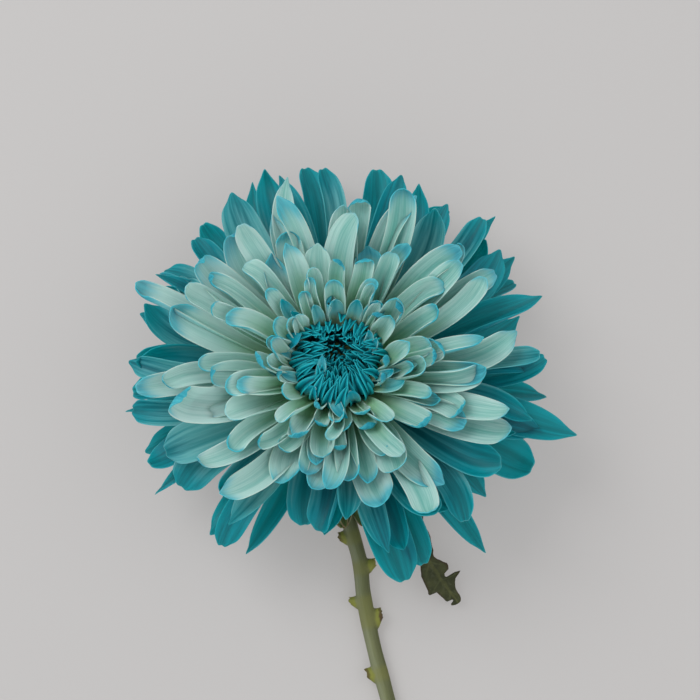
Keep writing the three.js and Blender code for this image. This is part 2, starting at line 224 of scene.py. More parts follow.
class Finish:
    """A material that is built up node by node."""

    def __init__(self, name, settings):
        self.material = bpy.data.materials.new(name)
        self.material.use_nodes = True
        self.tree = self.material.node_tree
        self.shader = self.tree.nodes["Principled BSDF"]
        for socket, value in settings.items():
            self.shader.inputs[socket].default_value = value

    def node(self, kind, settings, sockets):
        """Adds a node. Its settings come first, then the values or links of its sockets."""
        made = self.tree.nodes.new(kind)
        for name, value in settings.items():
            setattr(made, name, value)
        for name, value in sockets.items():
            if isinstance(value, Wire):
                self.tree.links.new(value.socket, made.inputs[name])
            else:
                made.inputs[name].default_value = value
        return Wire(self, made.outputs[0])

    def mixed(self, factor, first, second):
        """From the first colour to the second as the factor goes from 0 to 1."""
        ends = [end if isinstance(end, Wire) else (*end, 1) for end in (first, second)]
        mix_node = self.node(
            "ShaderNodeMix", {"data_type": "RGBA"}, {0: factor, 6: ends[0], 7: ends[1]})
        return mix_node.output(2)

    def noise(self, place, scale, detail):
        return self.node("ShaderNodeTexNoise", {}, {"Vector": place, "Scale": scale, "Detail": detail})

    def vector(self, x, y, z):
        return self.node("ShaderNodeCombineXYZ", {}, {0: x, 1: y, 2: z})

    def split(self, place):
        """The three parts of a vector."""
        x = self.node("ShaderNodeSeparateXYZ", {}, {0: place})
        return x, x.output(1), x.output(2)

    def place(self):
        """The place on the piece itself."""
        return self.node("ShaderNodeTexCoord", {}, {}).output(3)

    def blade_map(self):
        """Across a blade, along it from root to tip, and out from its middle line, each 0 to 1."""
        across, along, _ = self.split(self.node("ShaderNodeUVMap", {"uv_map": "blade"}, {}))
        return across, along, abs(across - 0.5) * 2

    def attribute(self, name):
        """The three numbers that each point of the piece carries under this name."""
        return self.split(self.node("ShaderNodeAttribute", {"attribute_name": name}, {}).output(1))

    def feed(self, socket, wire):
        self.tree.links.new(wire.socket, self.shader.inputs[socket])

    def raised(self, height, strength, distance):
        """Bump from a height."""
        bump = self.node(
            "ShaderNodeBump", {}, {"Height": height, "Strength": strength, "Distance": distance})
        self.feed("Normal", bump)


print("ready to make finishes")

# %% [markdown]
# ## Chance that repeats
# No two petals are alike, but the flower has to come out the same each time. So chance comes from
# a formula of the petal's number instead of from a random generator, and the solid model uses the
# same one. Petals grow in a spiral: each stands 137.5 degrees from the last, the golden angle, so
# that they never line up. The three zones below, and the disc further on, are the same spiral
# with other lengths and slopes.

# %% The petals' rule
GOLDEN_ANGLE = 137.508
CLAW_SHARE = 0.34
NOTCH = SimpleNamespace(azimuth=-97, spread=16, depth=0.2)

ZONES = {
    "inner": SimpleNamespace(
        seed=2000, count=50, root=(10.6, 11.2), height=(9, 7.4), length=(19, 31),
        width=(6.4, 9.4), rise=(60, 48), tip=(84, 44), cup=(84, 74), hook=6, curl=1.1,
        top=0, bottom=-0.06, left=0, notch=0, droop=12, left_pale=True,
        swing=SimpleNamespace(
            azimuth=12, length=0.16, rise=7, tip=16, twist=34, bend=26, hook=34)),
    "middle": SimpleNamespace(
        seed=3000, count=66, root=(11, 12), height=(5.8, 2), length=(32, 53),
        width=(9.6, 11.6), rise=(43, 27), tip=(38, 16), cup=(80, 66), hook=2, curl=0.8,
        top=-0.02, bottom=-0.2, left=0.11, notch=0, droop=5, left_pale=True,
        swing=SimpleNamespace(
            azimuth=7, length=0.12, rise=4, tip=9, twist=30, bend=18, hook=30)),
    "outer": SimpleNamespace(
        seed=4000, count=52, root=(11.6, 12.2), height=(-0.2, -3.8), length=(52, 55),
        width=(12.4, 12), rise=(20, 4), tip=(11, -8), cup=(70, 56), hook=0, curl=0.4,
        top=0.09, bottom=-0.15, left=0, notch=NOTCH.depth, droop=0, left_pale=False,
        swing=SimpleNamespace(
            azimuth=5, length=0.08, rise=2, tip=8, twist=30, bend=14, hook=34)),
}
WIDTH_SWING = 0.2
CUP_SWING = 0.45
COMB = 12
COMB_TURN = 10


def mix(pair, share):
    return pair[0] + (pair[1] - pair[0]) * share


def smooth(x):
    x = np.clip(x, 0, 1)
    return x * x * (3 - 2 * x)


print("zones of petals:", *ZONES)

# %% Chance for each petal and each use
CHANCES = {
    "azimuth": 1, "length": 2, "width": 3, "rise": 4, "tip": 5, "cup": 6, "twist": 7,
    "bend": 8, "hook": 9, "form": 10, "roll": 11, "wave": 12, "curl": 13, "sway": 14,
    "tint": 21, "second tint": 22, "rag": 31,
    "bunch turn": 1, "bunch tip": 2, "bunch length": 3}


def draw(number, use):
    """A repeatable chance value from -1 to 1 for a petal's number, one for each use."""
    wild = math.sin(number * 12.9898 + CHANCES[use] * 78.233) * 43758.5453
    return (wild - math.floor(wild)) * 2 - 1


def swings(sizes, number):
    """A drawn swing for each named size."""
    return {use: size * draw(number, use) for use, size in vars(sizes).items()}


print("first chances:", [round(draw(number, "length"), 2) for number in range(4)])

# %% One petal, and a zone of them
ROLL = 0.4
CURL = 130
CURL_MORE = 0.2
SWAY = 34


def petal_of(number, azimuth, dye, root, height, length, width, rise, tip, cup, claw,
             twist=0, bend=0, hook=0):
    """A petal's shape from millimetres and degrees, with its curl, waves, sway and tint by chance."""
    return SimpleNamespace(
        azimuth=math.radians(azimuth), root=root * MM, height=height * MM, length=length * MM,
        width=width * MM, rise=math.radians(rise), tip=math.radians(tip), cup=math.radians(cup),
        twist=math.radians(twist), bend=math.radians(bend), hook=math.radians(hook), claw=claw,
        roll=ROLL * draw(number, "roll"), wave=draw(number, "wave"),
        curl=math.radians(CURL) * max(draw(number, "curl") + CURL_MORE, 0),
        sway=math.radians(SWAY) * draw(number, "sway"), form=draw(number, "form"),
        dye=dye, chance=(draw(number, "tint"), draw(number, "second tint")))


def stiff(petal):
    """The same petal with no curl, no wave and no sway."""
    petal.curl = 0.0
    petal.wave = 0.0
    petal.sway = 0.0
    return petal


def zone_petals(zone):
    petals = []
    for place in range(zone.count):
        share = (place + 0.5) / zone.count
        number = zone.seed + place
        swing = swings(zone.swing, number)
        azimuth = place * GOLDEN_ANGLE + swing["azimuth"]
        upright = math.sin(math.radians(azimuth))
        leftward = max(-math.cos(math.radians(azimuth)), 0)
        off_notch = (azimuth - NOTCH.azimuth + 180) % 360 - 180
        stretch = 1 + upright ** 2 * (zone.top if upright > 0 else zone.bottom)
        stretch += zone.left * leftward ** 2 + swing["length"]
        stretch -= zone.notch * math.exp(-(off_notch / NOTCH.spread) ** 2)
        droop = zone.droop * max(-upright, 0)
        comb = COMB * math.cos(math.radians(azimuth + COMB_TURN))
        petals.append(petal_of(
            number, azimuth, dye=leftward if zone.left_pale else share,
            root=mix(zone.root, share),
            height=mix(zone.height, share),
            length=mix(zone.length, share) * stretch,
            width=mix(zone.width, share) * (1 + WIDTH_SWING * draw(number, "width")),
            rise=mix(zone.rise, share) + swing["rise"] - droop,
            tip=mix(zone.tip, share) + swing["tip"] - droop,
            cup=mix(zone.cup, share) * (1 + CUP_SWING * draw(number, "cup")),
            twist=swing["twist"],
            bend=swing["bend"] + comb,
            hook=zone.hook + swing["hook"],
            claw=CLAW_SHARE))
        petals[-1].curl *= zone.curl
    return petals


print({name: len(zone_petals(zone)) for name, zone in ZONES.items()}, "petals by the rule")

# %% [markdown]
# ## The stray petals
# The petals at the very back stand out of the rim one by one, and give the bloom its ragged
# outline. No rule gives an outline like that, so they are listed: azimuth in degrees,
# reach in millimetres, width, slope at the root, slope at the tip, twist, sideways bend and form.

# %% Stray petals
POINTED = 1
ROUND = 0
BLUNT = -1
STRAYS = [
    (-12, 76, 14, 6, -6, 8, -6, POINTED),
    (-24, 67, 16, 2, -10, 0, 0, BLUNT),
    (-48, 70, 9, 0, -12, 20, -4, POINTED),
    (-73, 65.5, 15, -2, -14, -25, 4, BLUNT),
    (-64, 62.5, 11, -6, -14, 10, 0, BLUNT),
    (246, 60, 9, -6, -14, 30, -14, POINTED),
    (232, 62, 11, -4, -12, 20, -4, ROUND),
    (207, 66, 9, -4, -18, 58, 16, POINTED),
    (200, 64, 12, -2, -12, -20, -6, ROUND),
    (184, 67, 9, 0, -14, 50, 12, POINTED),
    (161, 67, 11, 6, -6, 10, 0, ROUND),
    (148, 65, 8, 20, 6, 30, 10, POINTED),
    (128, 62, 9, -10, -22, 8, 4, ROUND),
    (96, 60, 10, -14, -20, -8, 0, BLUNT),
    (66, 63, 9, -10, -22, -10, -4, BLUNT),
    (57, 67, 11, 14, 4, -10, 4, ROUND),
    (48, 73, 9, 10, 2, 30, -8, POINTED),
    (33, 70, 10, 8, -2, 50, 10, ROUND),
    (-5, 66, 11, 4, -8, -40, 8, ROUND),
]
STRAY_ROOT = 12.4
STRAY_HEIGHT = -4.4
STRAY_CUP = 38
STRAY_SEED = 4500
STRAY_CURL = 0.3
STRAY_SWAY = 0.15
PALE_SIDE = 175
PALE_SPREAD = 40
PALE_DROP = 0.35


def outer_petals():
    """The outer zone, with less dye at the left of the face."""
    petals = zone_petals(ZONES["outer"])
    for petal in petals:
        off_left = abs((math.degrees(petal.azimuth) - PALE_SIDE + 180) % 360 - 180)
        petal.dye -= PALE_DROP * math.exp(-(off_left / PALE_SPREAD) ** 2)
    return petals


def stray_petals():
    petals = []
    for place, (azimuth, reach, width, rise, tip, twist, bend, form) in enumerate(STRAYS):
        run = math.cos(math.radians((rise + tip) / 2))
        petal = petal_of(
            STRAY_SEED + place, azimuth, dye=1.0, root=STRAY_ROOT, height=STRAY_HEIGHT,
            length=(reach - STRAY_ROOT) / run, width=width, rise=rise, tip=tip,
            cup=STRAY_CUP, claw=CLAW_SHARE, twist=twist, bend=bend)
        petal.curl *= STRAY_CURL
        petal.sway *= STRAY_SWAY
        petal.form = form
        petals.append(petal)
    return petals


print(len(STRAYS), "stray petals")

# %% [markdown]
# ## Flat petals, to be copied
# A ray petal is a strip with a narrow claw at its root, straight sides and a round, pointed or
# blunt end, with three shallow furrows along it. It could be traced as an outline and filled, but
# then its faces would have no order. A grid keeps its rows across the petal and its columns along
# it, so the streaks of the finish and the petal's bends can follow them. Here a grid is drawn in
# row by row to the petal's outline, and its last rows are pulled into an arc, once for each end.

# %% The blank of a ray petal
BODY_ROWS = (0, 0.24, 0.46, 0.66, 0.84)
TIP_ROWS = (0, 0.2, 0.4, 0.58, 0.74, 0.88, 1)
BLANK_WIDTH = 10 * MM
BLANK_LENGTH = 50 * MM
FURROW = 0.24 * MM
SIDE_COLUMNS = 3
WIDEST_AT = 0.66
TIP_FORMS = {
    "round": SimpleNamespace(widths=1.3, last=0.3, power=0.5, reach=(1, 0.97, 0.9, 0.8)),
    "pointed": SimpleNamespace(widths=1.8, last=0.2, power=0.66, reach=(1.03, 1, 0.95, 0.88)),
    "blunt": SimpleNamespace(widths=1.0, last=0.5, power=0.5, reach=(0.94, 1, 0.95, 0.8)),
}


def flat_grid(name, columns, rows, wide, long):
    """A grid with its root edge on y = 0, and the numbers of the points in its rows and columns."""
    grid = plain_form(
        name, bpy.ops.mesh.primitive_grid_add,
        x_subdivisions=columns, y_subdivisions=rows, size=long)
    open_up(grid)
    bpy.ops.mesh.select_all(action="SELECT")
    bpy.ops.transform.translate(value=(0, long / 2, 0))
    bpy.ops.transform.resize(value=(wide / long, 1, 1), center_override=(0, 0, 0))
    near = 0.01 * MM
    places = list(enumerate(vertex.co.copy() for vertex in bmesh.from_edit_mesh(grid.data).verts))
    across = [
        {number for number, place in places if abs(place.y - long * row / rows) < near}
        for row in range(rows + 1)]
    along = [
        {number for number, place in places if abs(place.x - wide * (column / columns - 0.5)) < near}
        for column in range(columns + 1)]
    return grid, across, along


def body_width(claw, t):
    """A petal's width at share t of its length, before its tip is rounded off."""
    return claw + (1 - claw) * np.sin(math.pi / 2 * np.minimum(t / WIDEST_AT, 1))


def ray_blank(form, slender):
    """A flat petal with one form of end, its width a slender share of its length.

    The end is some petal widths long and narrows by a power to its last width. Each of its columns
    has a reach of its own, from the middle one outwards.
    """
    end = TIP_FORMS[form]
    shoulder = 1 - end.widths * slender
    shares = [shoulder * row for row in BODY_ROWS]
    shares += [shoulder + (1 - shoulder) * row for row in TIP_ROWS]
    rows = len(shares) - 1
    grid, across, along = flat_grid(
        "ray_" + form, 2 * SIDE_COLUMNS, rows, BLANK_WIDTH, BLANK_LENGTH)
    for row, share in enumerate(shares):
        pick(grid, lambda number, place: number in across[row])
        bpy.ops.transform.translate(value=(0, (share - row / rows) * BLANK_LENGTH, 0))
        past = max(share - shoulder, 0) / (1 - shoulder)
        taper = end.last + (1 - end.last) * (1 - past * past) ** end.power
        width = body_width(CLAW_SHARE, share) * taper
        bpy.ops.transform.resize(value=(width, 1, 1), center_override=(0, 0, 0))
    shoulder_y = shoulder * BLANK_LENGTH
    furrowed_y = shares[1] * BLANK_LENGTH - MM
    for column, members in enumerate(along):
        reach = end.reach[abs(column - SIDE_COLUMNS)]
        pick(grid, lambda number, place: number in members and place.y > shoulder_y)
        bpy.ops.transform.resize(value=(1, reach, 1), center_override=(0, shoulder_y, 0))
        pick(grid, lambda number, place: number in members and place.y > furrowed_y)
        bpy.ops.transform.translate(value=(0, 0, FURROW * math.cos(math.pi * column)))
    close_up()
    return grid


RAY_SLENDER = 0.22
ray_blanks = {form: ray_blank(form, RAY_SLENDER) for form in TIP_FORMS}
print({form: len(grid.data.polygons) for form, grid in ray_blanks.items()}, "faces in the blanks")

# %% [markdown]
# ## Bending a copy
# On the flower each petal rises from the heart, arches over, twists a little and rolls its sides
# up into a gutter. A Curve modifier could follow the arch, but not the roll and the twist. So the
# points of each copy are moved in code along that petal's own middle line, in the same steps as
# in the solid model. Petals that would sink into the table lie on it instead.

# %% Bend and gather copies
LINE_STEPS = 24
CUP_AT_ROOT = 0.75
WAVE = 0.7 * MM
WAVE_RUN = 9
WAVE_SHIFT = 5
BEND_OVER = 63 * MM
BEND_SHARE = 0.5
HOOK_FROM = 0.72
CURL_FROM = 0.84


def directions(petal, t):
    """Along, across and up from the face at shares t of the petal's length, before its twist."""
    slope = petal.rise + (petal.tip - petal.rise) * smooth(t * 0.9 + 0.05)
    slope = slope + petal.hook * smooth((t - HOOK_FROM) / (1 - HOOK_FROM))
    slope = slope + petal.curl * smooth((t - CURL_FROM) / (1 - CURL_FROM))
    turn = petal.azimuth + petal.bend * t * t + petal.sway * smooth((t - 0.5) * 2)
    along = np.stack(
        [np.cos(slope) * np.cos(turn), np.cos(slope) * np.sin(turn), np.sin(slope)], axis=-1)
    across = np.stack([-np.sin(turn), np.cos(turn), np.zeros_like(turn)], axis=-1)
    return along, across, np.cross(along, across)


def middle_line(petal, t):
    start = [petal.root * math.cos(petal.azimuth), petal.root * math.sin(petal.azimuth), petal.height]
    along, _, _ = directions(petal, (np.arange(LINE_STEPS) + 0.5) / LINE_STEPS)
    stops = np.vstack([start, start + np.cumsum(along * petal.length / LINE_STEPS, axis=0)])
    shares = np.linspace(0, 1, LINE_STEPS + 1)
    line = np.stack([np.interp(t, shares, stops[:, axis]) for axis in range(3)], axis=-1)
    end, _, _ = directions(petal, np.ones(1))
    return line + np.maximum(t - 1, 0)[:, None] * petal.length * end


def bent_copy(blank, petal, wide, long):
    """A copy of a flat blank with its own mesh, moved along the petal's middle line."""
    copy = copy_of(blank)
    flat = points_of(copy)
    t = flat[:, 1] / long
    side = -flat[:, 0] * petal.width / wide
    reach = petal.width / 2 * body_width(petal.claw, t)
    opening = CUP_AT_ROOT + (1 - CUP_AT_ROOT) * smooth(t * 2)
    cup = petal.cup * opening * (1 + petal.roll * np.sign(side))
    angle = side / reach * cup
    lateral = (reach * np.sin(angle) / cup)[:, None]
    lift = reach * (1 - np.cos(angle)) / cup + flat[:, 2]
    ripple = np.sin(t * WAVE_RUN + WAVE_SHIFT * petal.roll) * smooth(t * 2)
    lift += WAVE * petal.wave * (side / reach) ** 2 * ripple
    along, across, up = directions(petal, t)
    twist = (petal.twist * t * t)[:, None]
    turned_across = across * np.cos(twist) + up * np.sin(twist)
    turned_up = up * np.cos(twist) - across * np.sin(twist)
    bent = middle_line(petal, t) + turned_across * lateral + turned_up * lift[:, None]
    put_points(copy, bent)
    marks = copy.data.attributes.new("petal", "FLOAT_COLOR", "POINT")
    mark = (petal.dye, *[chance * 0.5 + 0.5 for chance in petal.chance], 1.0)
    marks.data.foreach_set("color", np.tile(np.array(mark, np.float32), len(copy.data.vertices)))
    return copy


def set_on_table(thing, lowest):
    """Moves sheets from the bloom's axes to the table. Low points lie on it, high tips bend over."""
    thing.data.transform(bloom_to_table)
    for vertex in thing.data.vertices:
        vertex.co.z = max(vertex.co.z, lowest)
        vertex.co.z -= max(vertex.co.z - BEND_OVER, 0) * BEND_SHARE


POINTED_FROM = 0.55
BLUNT_BELOW = -0.1
INNER_BLUNT_BELOW = 0.3


def blank_for(petal):
    if petal.form > POINTED_FROM:
        return ray_blanks["pointed"]
    return ray_blanks["blunt" if petal.form < BLUNT_BELOW else "round"]


def inner_blank_for(petal):
    return ray_blanks["blunt" if petal.form < INNER_BLUNT_BELOW else "round"]


print("ready to bend petals")

# %% [markdown]
# ## The heart
# The petals of each zone grow from their own step of the receptacle, a solid green cone that only
# shows in the gaps. A cone with softened edges is enough for something seen so little, but it has
# to be there, or the gaps would show daylight.

# %% One step of the receptacle
CORE_SIDES = 32
CORE_ROUNDING = 1.2 * MM
HEART_GREEN = (0.10, 0.14, 0.04)
HEART_PALE = (0.20, 0.27, 0.09)


def heart_step(name, low, low_radius, high, high_radius):
    """A step from one height and radius to another, in millimetres in the bloom's axes."""
    step = plain_form(
        name, bpy.ops.mesh.primitive_cone_add,
        vertices=CORE_SIDES, radius1=low_radius * MM, radius2=high_radius * MM,
        depth=(high - low) * MM, location=(0, 0, (low + high) / 2 * MM))
    open_up(step)
    pick(step, lambda number, place: place.z > (low + high) / 2 * MM)
    bpy.ops.mesh.bevel(offset=CORE_ROUNDING, segments=3, affect="EDGES")
    close_up()
    step.data.materials.append(heart_tissue)
    return step


def heart_finish():
    """Green-brown tissue, darker in spots."""
    finish = Finish("heart_tissue", {"Roughness": 0.7})
    spots = finish.noise(finish.place(), 900.0, 3.0)
    finish.feed("Base Color", finish.mixed(spots.ramp(0.35, 0.65), HEART_GREEN, HEART_PALE))
    finish.raised(spots, 0.5, 0.3 * MM)
    return finish.material


heart_tissue = heart_finish()
print("the heart's finish is", heart_tissue.name)

# %% [markdown]
# ## The finish of the petals
# The dye came up through the veins, so it lies in lines along the petals, is darkest at the tips
# and rims, and shows more on the backs. A petal has three finishes: its face, its back and the
# thin rim between them. All read the petal's own map, which runs across it and along it, and the
# three numbers that each petal carries: its rank, which is its place in the zone or how far to the
# left it points, and two chances.

# %% What every petal finish reads
PETAL_FLESH = {
    "Subsurface Weight": 0.5, "Subsurface Radius": (0.8, 1.0, 0.9), "Subsurface Scale": 3.5 * MM}


def petal_finish(name, roughness, specular=0.22):
    """A finish, and the wires that the colours follow."""
    finish = Finish(
        name, {"Roughness": roughness, "Specular IOR Level": specular, **PETAL_FLESH})
    across, along, out = finish.blade_map()
    rank, first, second = finish.attribute("petal")
    streak = finish.noise(finish.vector(9 * across + 50 * first, 1.2 * along, 30 * second), 1.0, 3.0)
    vein = finish.noise(finish.vector(30 * across + 70 * second, 1.6 * along, 20 * first), 1.0, 2.0)
    finish.raised(vein + streak, 0.35, 0.25 * MM)
    return finish, SimpleNamespace(
        along=along, out=out, rank=rank, first=first, second=second, streak=streak, vein=vein)


def three_sides(finish_of, name, *details):
    """One finish each for a blade's face, its back and its rim."""
    return [finish_of(name + "_" + side, side, *details) for side in ("face", "back", "rim")]


print("blades have a finish for face, back and rim")

# %% Pale petals
MINT = (0.15, 0.43, 0.37)
WHITE = (0.46, 0.73, 0.65)
GREEN = (0.27, 0.54, 0.25)
TURQUOISE = (0.0, 0.30, 0.40)
CREAM = (0.50, 0.72, 0.58)
BRIGHT_BLUE = (0.03, 0.42, 0.52)
DARK_BLUE = (0.0, 0.22, 0.32)


def pale_finish(name, side, green_until):
    """Pale mint, darker along its middle as painted shade in its gutter and whiter to its edges, with
    dyed rims and tips.
    """
    finish, at = petal_finish(name, 0.55)
    lines = 0.4 * at.streak.ramp(0.3, 0.7) + 0.25 * at.vein.ramp(0.35, 0.65)
    # partly painted shade: the mint middle, away from the whiter edges, stands for shade in the gutter;
    # the streaks, veins and chances are the petal's own
    whiteness_and_gutter_shade = 0.5 * at.out.ramp(0.1, 0.95) + lines + 0.3 * at.first + 0.5 * at.rank - 0.2
    pale = finish.mixed(whiteness_and_gutter_shade, MINT, WHITE)
    pale = finish.mixed((at.along + 0.1 * at.out).ramp(0.05, green_until), GREEN, pale)
    chance = 0.25 * (at.streak - 0.5) + 0.4 * (at.second - 0.5)
    tip = (at.along + 0.1 * at.out + chance).ramp(0.72, 1.02)
    edge = (at.out + 0.3 * at.along + 0.1 * at.streak).ramp(1.18, 1.4) * at.second.ramp(0.4, 0.9)
    brightness = (at.streak + 0.3 * at.out + 0.3 * at.first).ramp(0.45, 1.0)
    dye = finish.mixed(brightness, DARK_BLUE, BRIGHT_BLUE)
    if side == "face":
        colour = finish.mixed(0.85 * tip.over(edge), pale, dye)
    elif side == "back":
        dyed = 0.95 * (at.along + 0.5 * at.streak + 0.2 * at.second).ramp(0.6, 1.15)
        colour = finish.mixed(dyed.over(edge), pale, dye)
    else:
        edging = finish.mixed(0.15 + 0.7 * at.second, pale, CREAM)
        colour = finish.mixed((at.along + 0.3 * (at.second - 0.5)).ramp(0.72, 1.0), edging, BRIGHT_BLUE)
    finish.feed("Base Color", colour)
    return finish.material


print("the dye goes from", DARK_BLUE, "to", BRIGHT_BLUE)

# %% Teal petals
TEAL = (0.0, 0.24, 0.29)
DEEP_TEAL = (0.0, 0.12, 0.15)
PALE_TEAL = (0.05, 0.37, 0.37)
LIGHT_TEAL = (0.19, 0.52, 0.51)
RIM_TEAL = (0.08, 0.44, 0.50)


def teal_finish(name, side):
    """Dyed through, deeper the further out the petal stands and the nearer to its tip."""
    finish, at = petal_finish(name, 0.5)
    pale = finish.mixed(at.streak.ramp(0.2, 0.85), PALE_TEAL, LIGHT_TEAL)
    deep = finish.mixed((at.streak + 0.4 * at.out - 0.2).ramp(0.2, 0.7), DEEP_TEAL, TEAL)
    across = 0.6 * (at.streak - 0.5) + 0.25 * (at.out - 0.5)
    depth = (0.5 * at.first + 0.55 * at.rank + 0.7 * at.along - across).ramp(0.2, 0.88)
    colour = finish.mixed(depth, pale, deep)
    if side == "rim":
        colour = finish.mixed(0.3 * at.second, colour, RIM_TEAL)
    elif side == "back":
        colour = finish.mixed(0.5, colour, TURQUOISE)
    finish.feed("Base Color", colour)
    return finish.material


print("the teal goes from", DEEP_TEAL, "to", LIGHT_TEAL)

# %% [markdown]
# ## A ring of petals
# Each zone of petals becomes one object: the bent copies and their step of the heart, joined. The
# copies are still thin sheets. A Solidify modifier gives them their wall with its own materials
# on the back and the rim, and one level of subdivision rounds the rims. The step of the heart is
# closed already, so it joins afterwards.

# %% Make a ring
PETAL_WALL = 0.42 * MM
TABLE_CLEAR = 0.25 * MM


def give_wall(sheet, wall_thickness, finishes, rounded=True):
    """Turns a sheet into a thin blade with a finish for its face, back and rim."""
    for finish in finishes:
        sheet.data.materials.append(finish)
    wall = sheet.modifiers.new("wall", "SOLIDIFY")
    wall.thickness = wall_thickness
    wall.offset = 0
    wall.material_offset = 1
    wall.material_offset_rim = 2
    if rounded:
        round_off = sheet.modifiers.new("round", "SUBSURF")
        round_off.levels = 1
        round_off.render_levels = 1
    apply_all(sheet)
    shade_smooth(sheet)


def blades(name, petals, finishes, blank_of, wide=BLANK_WIDTH, long=BLANK_LENGTH):
    """Bent copies, one for each petal, joined and given their wall."""
    sheets = [bent_copy(blank_of(petal), petal, wide, long) for petal in petals]
    piece = join(sheets, name)
    set_on_table(piece, TABLE_CLEAR)
    give_wall(piece, PETAL_WALL, finishes)
    return piece


def ring(name, petals, core, *details):
    """Blades with their step of the heart."""
    piece = blades(name, petals, *details)
    shade_smooth(core)
    core.data.transform(bloom_to_table)
    return join([piece, core], name)


outer = ring(
    "outer_petals", outer_petals() + stray_petals(),
    heart_step("outer_core", low=-6, low_radius=12.8, high=0.8, high_radius=13.8),
    three_sides(teal_finish, "teal"), blank_for)
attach(outer, "root")
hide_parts("outer_rays")
print("outer petals:", faces_of(outer), "triangles")

# %% Middle petals
MIDDLE_GREEN_UNTIL = 0.42

middle = ring(
    "middle_petals", zone_petals(ZONES["middle"]),
    heart_step("middle_core", low=1.2, low_radius=13.8, high=6.4, high_radius=13),
    three_sides(pale_finish, "pale", MIDDLE_GREEN_UNTIL), blank_for)
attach(middle, "root")
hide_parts("middle_rays")
print("middle petals:", faces_of(middle), "triangles")

# %% Inner petals
INNER_GREEN_UNTIL = 0.6

inner = ring(
    "inner_petals", zone_petals(ZONES["inner"]),
    heart_step("inner_core", low=6.8, low_radius=12.8, high=9.9, high_radius=11.2),
    three_sides(pale_finish, "inner", INNER_GREEN_UNTIL), inner_blank_for)
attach(inner, "root")
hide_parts("inner_rays")
print("inner petals:", faces_of(inner), "triangles")

# %% [markdown]
# ## The disc in the middle
# The florets of the disc are narrow folded strips that curl over the middle. They don't all point
# to it: neighbours lie side by side in bunches, as if combed. So each floret turns from its own
# azimuth to that of its bunch while it runs. Hundreds of hairs could give such a centre, but each
# strip has a fold and lit edges of its own, so they are blades too, with fewer faces than a petal.

# %% The blank of a floret
FLORET_COLUMNS = 2
FLORET_ROWS = 8
FLORET_WIDTH = 3 * MM
FLORET_LENGTH = 20 * MM
FLORET_CLAW = 0.55
FLORET_SHOULDER = 0.45
GROOVE = 0.5 * MM


def strip_blank(name, columns, rows, wide, long, outline, fold):
    """A strip as wide as its outline says, with its middle lifted by fold."""
    grid, across, along = flat_grid(name, columns, rows, wide, long)
    for step, row in enumerate(across):
        width = outline(step / rows)
        pick(grid, lambda number, place: number in row)
        bpy.ops.transform.resize(value=(width, 1, 1), center_override=(0, 0, 0))
        pick(grid, lambda number, place: number in row and number in along[columns // 2])
        bpy.ops.transform.translate(value=(0, 0, fold * width))
    close_up()
    return grid


def floret_outline(t):
    past = max(t - FLORET_SHOULDER, 0) / (1 - FLORET_SHOULDER)
    return body_width(FLORET_CLAW, t) * max(1 - past ** 1.6, 0.02) ** 0.8


floret = strip_blank(
    "floret", FLORET_COLUMNS, FLORET_ROWS, FLORET_WIDTH, FLORET_LENGTH, floret_outline, GROOVE)
print("a floret has", len(floret.data.polygons), "faces before it has a wall")

# %% Place the florets
DISC = SimpleNamespace(
    seed=1000, count=150, root=(0.6, 10.6), height=(13.5, 9.6), length=(6.2, 19),
    width=(2.5, 4), rise=(86, 29), tip=(110, 170), cup=(-40, -64),
    swing=SimpleNamespace(azimuth=6, length=0.12, width=0.2, rise=6, tip=12, twist=30, bend=10))
LAYERS = ((0.2, 3), (0.52, 4), (1.0, 7))
BUNCH_SEED = 1500
LAYER_SEEDS = 20
BUNCH_SWING = SimpleNamespace(turn=30, tip=14, length=0.12)


def disc_florets():
    """Florets by the spiral rule, each turned the way of its bunch."""
    florets = []
    for place in range(DISC.count):
        share = (place + 0.5) / DISC.count
        number = DISC.seed + place
        swing = swings(DISC.swing, number)
        azimuth = place * GOLDEN_ANGLE + swing["azimuth"]
        layer = sum(share > top for top, _ in LAYERS)
        bunches = LAYERS[layer][1]
        bunch = round(azimuth / 360 * bunches)
        bunch_number = BUNCH_SEED + LAYER_SEEDS * layer + bunch % bunches
        turn = bunch / bunches * 360 + BUNCH_SWING.turn * draw(bunch_number, "bunch turn")
        stretch = 1 + swing["length"] + BUNCH_SWING.length * draw(bunch_number, "bunch length")
        tip_swing = swing["tip"] + BUNCH_SWING.tip * draw(bunch_number, "bunch tip")
        florets.append(stiff(petal_of(
            number, azimuth, dye=share,
            root=mix(DISC.root, math.sqrt(share)),
            height=mix(DISC.height, share),
            length=mix(DISC.length, share) * stretch,
            width=mix(DISC.width, share) * (1 + swing["width"]),
            rise=mix(DISC.rise, share) + swing["rise"],
            tip=mix(DISC.tip, share) + tip_swing,
            cup=mix(DISC.cup, share),
            twist=swing["twist"],
            bend=turn - azimuth + swing["bend"],
            claw=FLORET_CLAW)))
    return florets


# FLORET_SHADE is painted shade in the disc's depth and in each floret's groove; LIT_EDGE is painted
# light on the edges
FLORET_SHADE = (0.0, 0.035, 0.05)
LIT_EDGE = (0.02, 0.50, 0.58)


